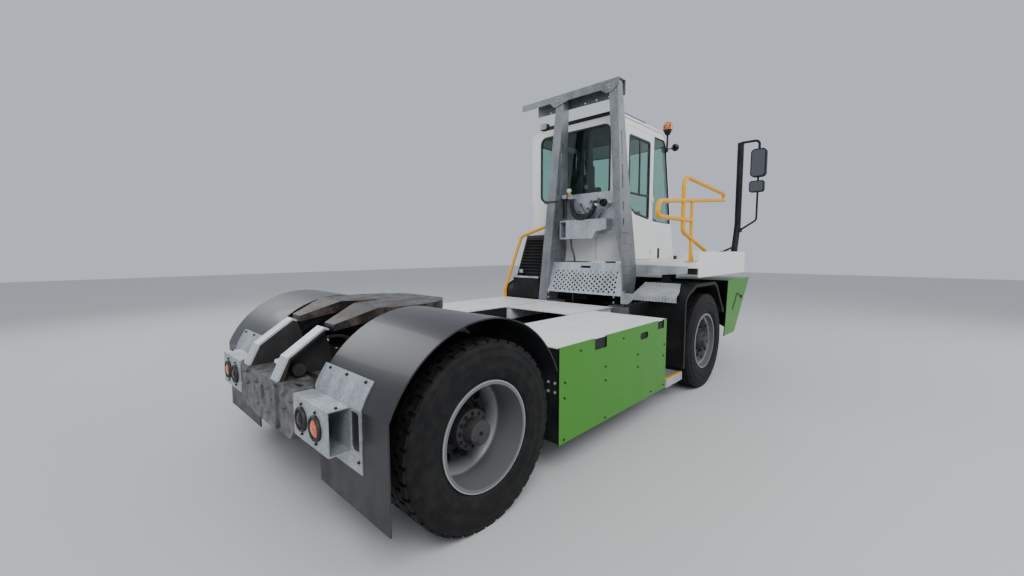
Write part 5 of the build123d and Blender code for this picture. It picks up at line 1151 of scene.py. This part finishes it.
def helix(line, radius, pitch, steps=12):
    """Points of a helix of this radius and pitch wound round a line."""
    lengths = [0.0]
    for first, second in zip(line, line[1:]):
        lengths.append(lengths[-1] + (second - first).length)
    side = Vector((1, 0, 0))
    points = []
    total = int(lengths[-1] / pitch * steps)
    part = 0
    for count in range(total + 1):
        run = lengths[-1] * count / total
        while part < len(line) - 2 and lengths[part + 1] < run:
            part += 1
        ahead = (line[part + 1] - line[part]).normalized()
        share = (run - lengths[part]) / max(lengths[part + 1] - lengths[part], 1e-9)
        place = line[part].lerp(line[part + 1], share)
        side = (side - ahead * side.dot(ahead)).normalized()
        turn = 2 * pi * count / steps
        points.append(place + radius * (side * cos(turn) + ahead.cross(side) * sin(turn)))
    return points


def cord(name, places, radius, finish, body="chassis", order=3):
    """A line piece through places in millimetres ahead of the rear axle."""
    return line_piece(name, [spot(*place) for place in places], radius, finish, body, order=order)


# %% Coils and hose
COIL_RADIUS, TUBE_RADIUS = 0.0238, 0.0043
COIL_LEFT = [(2820, 345, 2140), (2820, 345, 1900)]
COIL_MIDDLE = [(2820, 250, 2130), (2820, 250, 1960), (2820, 90, 1900), (2820, -90, 1960), (2820, -90, 2085)]
COIL_FRONT = [
    (2762, 205, 2120), (2762, 205, 1960), (2762, 110, 1880), (2762, -15, 1885), (2762, -100, 1990),
    (2768, -112, 2075),
]
HOSE = [
    (2800, 240, 1644.5), (2800, 240, 1560), (2787, 174, 1440), (2787, 174, 1300), (2760, 174, 1150),
    (2760, 174, 728),
]
nylon = Finish("nylon_tube", (0.02, 0.02, 0.022), 0.3, 0.0, Coat_Weight=0.3)
nylon.set("Base Color", nylon.blend(nylon.noise(35, 4), (0.007, 0.007, 0.008), (0.022, 0.021, 0.022)))
nylon.set("Roughness", 0.26 + nylon.noise(18, 3) * 0.2)
nylon.bump(nylon.noise(200, 1), 0.0002, 0.2)
# name, route, pitch in metres
COILS = (
    ("coil_left", COIL_LEFT, 0.0135),
    ("coil_middle", COIL_MIDDLE, 0.0140),
    ("coil_front", COIL_FRONT, 0.0150),
)
for name, places, pitch in COILS:
    line = route_line([spot(*place) for place in places])
    line_piece(name, helix(line, COIL_RADIUS, pitch), TUBE_RADIUS, nylon, order=3, facets=1)
    print(name, "length along the route", round(length_of(line), 3))
hose = cord("cab_hose", HOSE, 0.012, nylon)
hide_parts("air_lines")

# %% [markdown]
# ## Fittings on the headboard
# The coils end in brass glands, an ivory knob stands on a yellow foot, and the plate behind carries a round
# socket, a white plug and a row of ports with short cables. Such fittings come off a lathe in the real world
# too, so each is one turned profile.

# %% Glands and knob
GLAND = ((0, 0), (11, 0), (11, 6), (8, 8), (8, 14), (6, 18), (0, 18))
GLAND_PLACES = ((345, 2140), (250, 2130), (-90, 2085), (345, 1896))
KNOB = ((0, 0), (9, 0), (9, 14), (14, 22), (27, 34), (31, 48), (27, 62), (14, 71), (0, 73))
KNOB_FOOT = ((0, 0), (26, 0), (26, 10), (18, 14), (0, 14))
brass = Finish("brass", (0.62, 0.47, 0.2), 0.3, 0.9)
brass.set("Roughness", 0.25 + brass.noise(60, 4) * 0.25)
brass.set("Base Color", brass.blend(brass.noise(14, 4), (0.66, 0.52, 0.25), (0.38, 0.27, 0.12)))
for count, (y, z) in enumerate(GLAND_PLACES):
    way = -1 if z > 2000 else 1
    finished(lathe(GLAND, spot(2820, y, z), (0, 0, way), 12), f"gland_{count}", brass)
ivory = paint("ivory_knob", (0.74, 0.70, 0.55), 0.3, 0.1)
finished(lathe(KNOB, spot(2790, 258, 2182), (-0.3, 0, 1), 24), "shift_ball", ivory)
finished(lathe(KNOB_FOOT, spot(2790, 258, 2176), UP, 24), "ball_base", yellow)

# %% Connectors and short cables
COUPLING = ((0, 0), (46, 0), (46, 6), (40, 10), (40, 34), (33, 38), (33, 20), (0, 20))
PLUG = ((0, 0), (14, 0), (14, 40), (10, 46), (0, 46))
PORT = ((0, 0), (15, 0), (15, 8), (11, 10), (11, 26), (0, 26))
PORT_PLACES = ((-150, 1960), (20, 2080), (60, 2020), (150, 2080), (165, 1990))
finished(lathe(COUPLING, spot(2794, -215, 2050), BACK, 36), "socket_ring", plastic)
finished(lathe(PLUG, spot(2795, -120, 2030), (-1, 0, 0.2), 20), "white_plug", white)
port = lathe(PORT, Vector((0, 0, 0)), UP, 6)
take(port)
bpy.ops.object.transform_apply(location=True, rotation=True, scale=True)
repeated(port, [facing(spot(2874, y, z), BACK) for y, z in PORT_PLACES], "air_ports", bright)
CABLES = (
    ((2868, 150, 2080), (2835, 130, 2050), (2840, 60, 1960), (2850, 20, 1880)),
    ((2868, 60, 2020), (2832, 30, 2010), (2838, -40, 1950), (2850, -60, 1880)),
    ((2868, 20, 2080), (2845, -40, 2120), (2830, -120, 2110), (2790, -205, 2060)),
    ((2868, -150, 1960), (2835, -150, 1930), (2845, -120, 1885), (2855, -100, 1878)),
)
for count, places in enumerate(CABLES):
    cord(f"short_line_{count}", places, 0.006, nylon)

# %% [markdown]
# ## The galvanised steps
# The step plates are pressed with round grip holes. At this size the holes are a pattern in the finish: a
# grid of dots, painted shade seen through the holes, that darkens the zinc and dips in the bump, kept to the
# top faces by its height.


# %% Step finish
def dots(first, second, pitch, share):
    """1 inside round dots on a grid of this pitch, along two directions."""
    u, v = ((way * (1 / pitch)).fraction() - 0.5 for way in (first, second))
    away = u * u + v * v
    return 1 - away.above(share * share * 0.7, share * share)


steps = galvanised("step_zinc")
x, y, z = steps.axes()
grid = dots(x + 10, y + 10, 0.034, 0.3)
tops = z.above(0.298, 0.2995) * (1 - z.above(0.301, 0.302))
slope_tops = z.above(1.052, 1.06) * (1 - z.above(1.15, 1.152))
front_row = z.above(0.99, 1.0) * (1 - z.above(1.03, 1.035))
# Painted shade: the grip holes are drawn near black for the shade under the plate.
shaded_holes = grid * (tops + slope_tops * 0.55 + front_row * 0.4).smaller(1)
tone = crystals(steps) * 0.35 + steps.noise(7, 5) * 0.9
zinc_colour = steps.blend(tone.above(0.35, 0.95), (0.33, 0.35, 0.37), (0.66, 0.69, 0.72))
steps.set("Base Color", steps.blend(shaded_holes, zinc_colour, (0.05, 0.05, 0.052)))
steps.bump(1 - shaded_holes, 0.002, 0.7)
dress(steps, "access_steps")
nosing = bar_of(corners(-1196, 300.5, 30, 6), "back", 2292, 2668)
finished(soften(nosing, 0.002), "step_nosing", yellow)

# %% [markdown]
# ## Ramps and tow plate
# The ramps wear bright on top, where trailers slide up, and are dark inside. The finish knows the ramp's
# line: what lies within a finger of it is zinc, the rest is the dusty dark of the tail.

# %% Tail finish
RAMP_LINE = ((-728, 782), (-668, 905), (-455, 1050), (-430, 1040))
STRIP_DEEP = 13
x, y, z = tail_steel.axes()
over_lines = []
for (x0, z0), (x1, z1) in zip(RAMP_LINE, RAMP_LINE[1:]):
    steep = (z1 - z0) / (x1 - x0)
    line_z = (x - (REAR + x0 / 1000)) * steep + (z0 - STRIP_DEEP * hypot(1, steep)) / 1000
    over_lines.append(z - line_z)
strip = over_lines[0].larger(over_lines[1]).larger(over_lines[2])
on_ramp = strip.above(0, 0.002) * z.above(0.775, 0.785)
patches = tail_steel.noise(17, 8)
dusty = tail_steel.blend(patches.above(0.35, 0.75), (0.21, 0.21, 0.205), (0.07, 0.066, 0.062))
dusty = tail_steel.blend(z.above(0.772, 0.778), dusty, (0.045, 0.043, 0.042))
tail_steel.set("Base Color", tail_steel.blend(on_ramp, dusty, (0.56, 0.60, 0.62)))
tail_steel.set("Roughness", 0.5 - on_ramp * 0.12 + patches * 0.1)
print("ramp strip", STRIP_DEEP, "mm deep")

# %% [markdown]
# ## Tow eye and conduits
# A white towing eye lies between the ramps. Black conduits bring the lamps' wires round the ramps' feet to
# the rails: smooth lines of round section, one list of places for both sides.

# %% Tow eye and cables of the tail
EYE = ((28, 0), (58, 0), (62, 4), (62, 18), (58, 22), (28, 22), (24, 18), (24, 4))
CONDUIT = ((-640, 560, 700), (-600, 500, 745), (-560, 440, 800), (-460, 400, 800), (-300, 395, 790))
CROSS_CONDUIT = (
    (-560, -440, 800), (-540, -330, 785), (-530, -100, 782), (-530, 100, 782), (-540, 300, 785),
    (-560, 440, 800),
)
WHITE_LINE = ((-520, 190, 800), (-470, 80, 850), (-400, -60, 880), (-300, -120, 872))
finished(lathe(EYE, spot(-560, 60, 790), (0.15, 0, 1), 36), "tow_eye", white)
block("tow_eye_shank", corners(-500, 60, 90, 44), "plan", 794, 808, finish=white)
for side, mark in SIDES:
    cord(f"conduit_{mark}", [(x, side * y, z) for x, y, z in CONDUIT], 0.013, nylon)
cord("conduit_cross", CROSS_CONDUIT, 0.010, nylon)
cord("white_line", WHITE_LINE, 0.004, ivory)

# %% [markdown]
# ## Lock of the fifth wheel
# A forged jaw grips the kingpin in the throat, and a pull rod leads out to the right. The jaw is a thick C,
# turned and cut open to the rear.

# %% Jaw and pull rod
JAW = ((27, -50), (46, -50), (46, -28), (27, -28))
PULL_ROD = [(60, -80, 1108), (120, -200, 1106), (160, -400, 1104), (165, -455, 1104)]
jaw = lathe(JAW, spot(30, 0, 1150), UP, 40)
open_up(jaw)
pick(lambda place, normal: abs(atan2(place.y, place.x)) > radians(125))
bpy.ops.mesh.delete(type="FACE")
pick(lambda first, second: True, "EDGE")
bpy.ops.mesh.region_to_loop()
bpy.ops.mesh.edge_face_add()
clear()
finished(jaw, "lock_jaw", dark_bolt, "fifth_wheel")
cord("pull_rod", PULL_ROD, 0.007, dark_bolt, "fifth_wheel", 4)

# %% [markdown]
# ## Plates, straps and brackets
# The small flat parts: the gusset at the foot of the yellow post, the shelf strip across the louvred
# cabinet, a bare rating plate, the black band round the left post, the markers at the front of the covers.

# %% Flat parts
GUSSET = [(3050, 1395), (3106, 1395), (3106, 1410), (3062, 1530), (3050, 1560)]
block("post_gusset", GUSSET, "side", -1124, -1116, finish=yellow)
block("shelf_strip", corners(860, 1165, 440, 24), "back", 2652, 2664, finish=zinc)
block("rating_plate", corners(985, 1235, 62, 46), "back", 2716, 2719, finish=bright)

BAND_Z, BAND_HIGH = 2100, 22
POST_HIGH = 2458
POST_EDGES = ((632, 500), (406, 295))
share = (BAND_Z - POST_FOOT) / POST_HIGH
outer_y, inner_y = (foot + (head - foot) * share for foot, head in POST_EDGES)
band = corners((outer_y + inner_y) / 2, BAND_Z, outer_y - inner_y + 10, BAND_HIGH)
block("post_band_rear", band, "back", 2680, 2684)
block("post_band_side", corners(2808, BAND_Z, 256, BAND_HIGH), "side", outer_y, outer_y + 4)

for (side, mark), front in zip(SIDES, (2232, 2642)):
    marker = corners(front + 16, 812, 28, 44)
    block(f"marker_{mark}", marker, "side", side * 1195 - 8, side * 1195 + 8, finish=amber)
block("number_plate", corners(0, 560, 520, 110), "back", 4937.5, 4941, finish=white)
block("plate_holder", corners(0, 560, 536, 126), "back", 4933.5, 4937.5, finish=plastic)

# %% [markdown]
# ## The driver's seat
# A seat cushion is foam that pushes its cover out between the seams. The shape is cut a little small, given
# an even skin of small faces, and blown up by Blender's cloth with a light pressure and no gravity. The
# swelling is capped, because foam gives less than air. The sewn channels are pressed in afterwards.

# %% Padded shapes
PRESSURE = 4.0
BLOW_FRAMES = 18


def puffed(piece, cap, voxel=0.009):
    """Blows a piece up, no corner of it further than cap."""
    apply_all(piece)
    skin = piece.modifiers.new("skin", "REMESH")
    skin.mode = "VOXEL"
    skin.voxel_size = voxel
    bpy.ops.object.modifier_apply(modifier="skin")
    before = [v.co.copy() for v in piece.data.vertices]
    cover = piece.modifiers.new("cover", "CLOTH")
    cover.settings.quality = 4
    cover.settings.use_pressure = True
    cover.settings.uniform_pressure_force = PRESSURE
    cover.settings.effector_weights.gravity = 0
    for step in range(1, BLOW_FRAMES + 1):
        bpy.context.scene.frame_set(step)
    bpy.ops.object.modifier_apply(modifier="cover")
    bpy.context.scene.frame_set(1)
    for vert, start in zip(piece.data.vertices, before):
        move = vert.co - start
        if move.length > cap:
            vert.co = start + move.normalized() * cap
    return piece


def channel(piece, across_axis, lines, depth, width, rule):
    """Presses sewn channels into the faces that the rule accepts."""
    for vert in piece.data.vertices:
        if rule(vert.normal):
            near = min(abs(vert.co[across_axis] - line) for line in lines)
            vert.co -= vert.normal * depth * max(0.0, 1 - (near / width) ** 2)


# %% Cushion, back and head rest
SEAT_BASE = [(3345, 1742), (3800, 1742), (3822, 1800), (3800, 1835), (3345, 1828)]
SEAT_REST = [(3345, 1848), (3268, 2330), (3340, 2330), (3440, 1850)]
SEAT_HEAD = [(3240, 2372), (3216, 2488), (3296, 2490), (3330, 2376)]
cushion = puffed(soften(bar_of(SEAT_BASE, "side", 128, 592), 0.035, 4), 0.012)
channel(cushion, 1, (0.200, 0.520), 0.011, 0.012, lambda normal: normal.z > 0.5)
channel(cushion, 0, [spot(x, 0, 0).x for x in (3470, 3640)], 0.007, 0.010, lambda normal: normal.z > 0.7)
finished(cushion, "seat_cushion", cloth, "cab", 60)
rest = puffed(soften(bar_of(SEAT_REST, "side", 134, 586), 0.032, 4), 0.012)
channel(rest, 2, (1.960, 2.080, 2.200), 0.009, 0.011, lambda normal: normal.x > 0.6)
channel(rest, 1, (0.205, 0.515), 0.010, 0.011, lambda normal: normal.x > 0.5)
finished(rest, "seat_rest", cloth, "cab", 60)
head = puffed(soften(bar_of(SEAT_HEAD, "side", 262, 458), 0.028, 4), 0.008, 0.008)
finished(head, "head_rest", cloth, "cab", 60)

# %% [markdown]
# ## Under and beside the seat
# The seat stands on rubber bellows: one fold with soft edges, repeated upward. Two polished pins carry the
# head rest, and the belt's buckle stands beside the cushion.

# %% Pedestal, pins and belt buckle
BELLOWS, BELLOWS_STEP = 6, 0.042
fold = soften(bar_of(corners(3580, 360, 300, 260), "plan", 1424, 1468), 0.018, 4)
apply_all(fold)
places = [Matrix.Translation((0, 0, count * BELLOWS_STEP)) for count in range(BELLOWS)]
folds = repeated(fold, places, "seat_bellows", plastic, "cab")
block("seat_pan", corners(3580, 360, 430, 430), "plan", 1682, 1738, "cab", plastic)
for y in (315, 405):
    cord(f"head_pin_{y}", ((3285, y, 2300), (3278, y, 2340), (3272, y, 2395)), 0.007, polished, "cab", 4)
block("belt_buckle", corners(3560, 1832, 26, 90), "side", 596, 612, "cab", plastic)
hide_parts("seat")
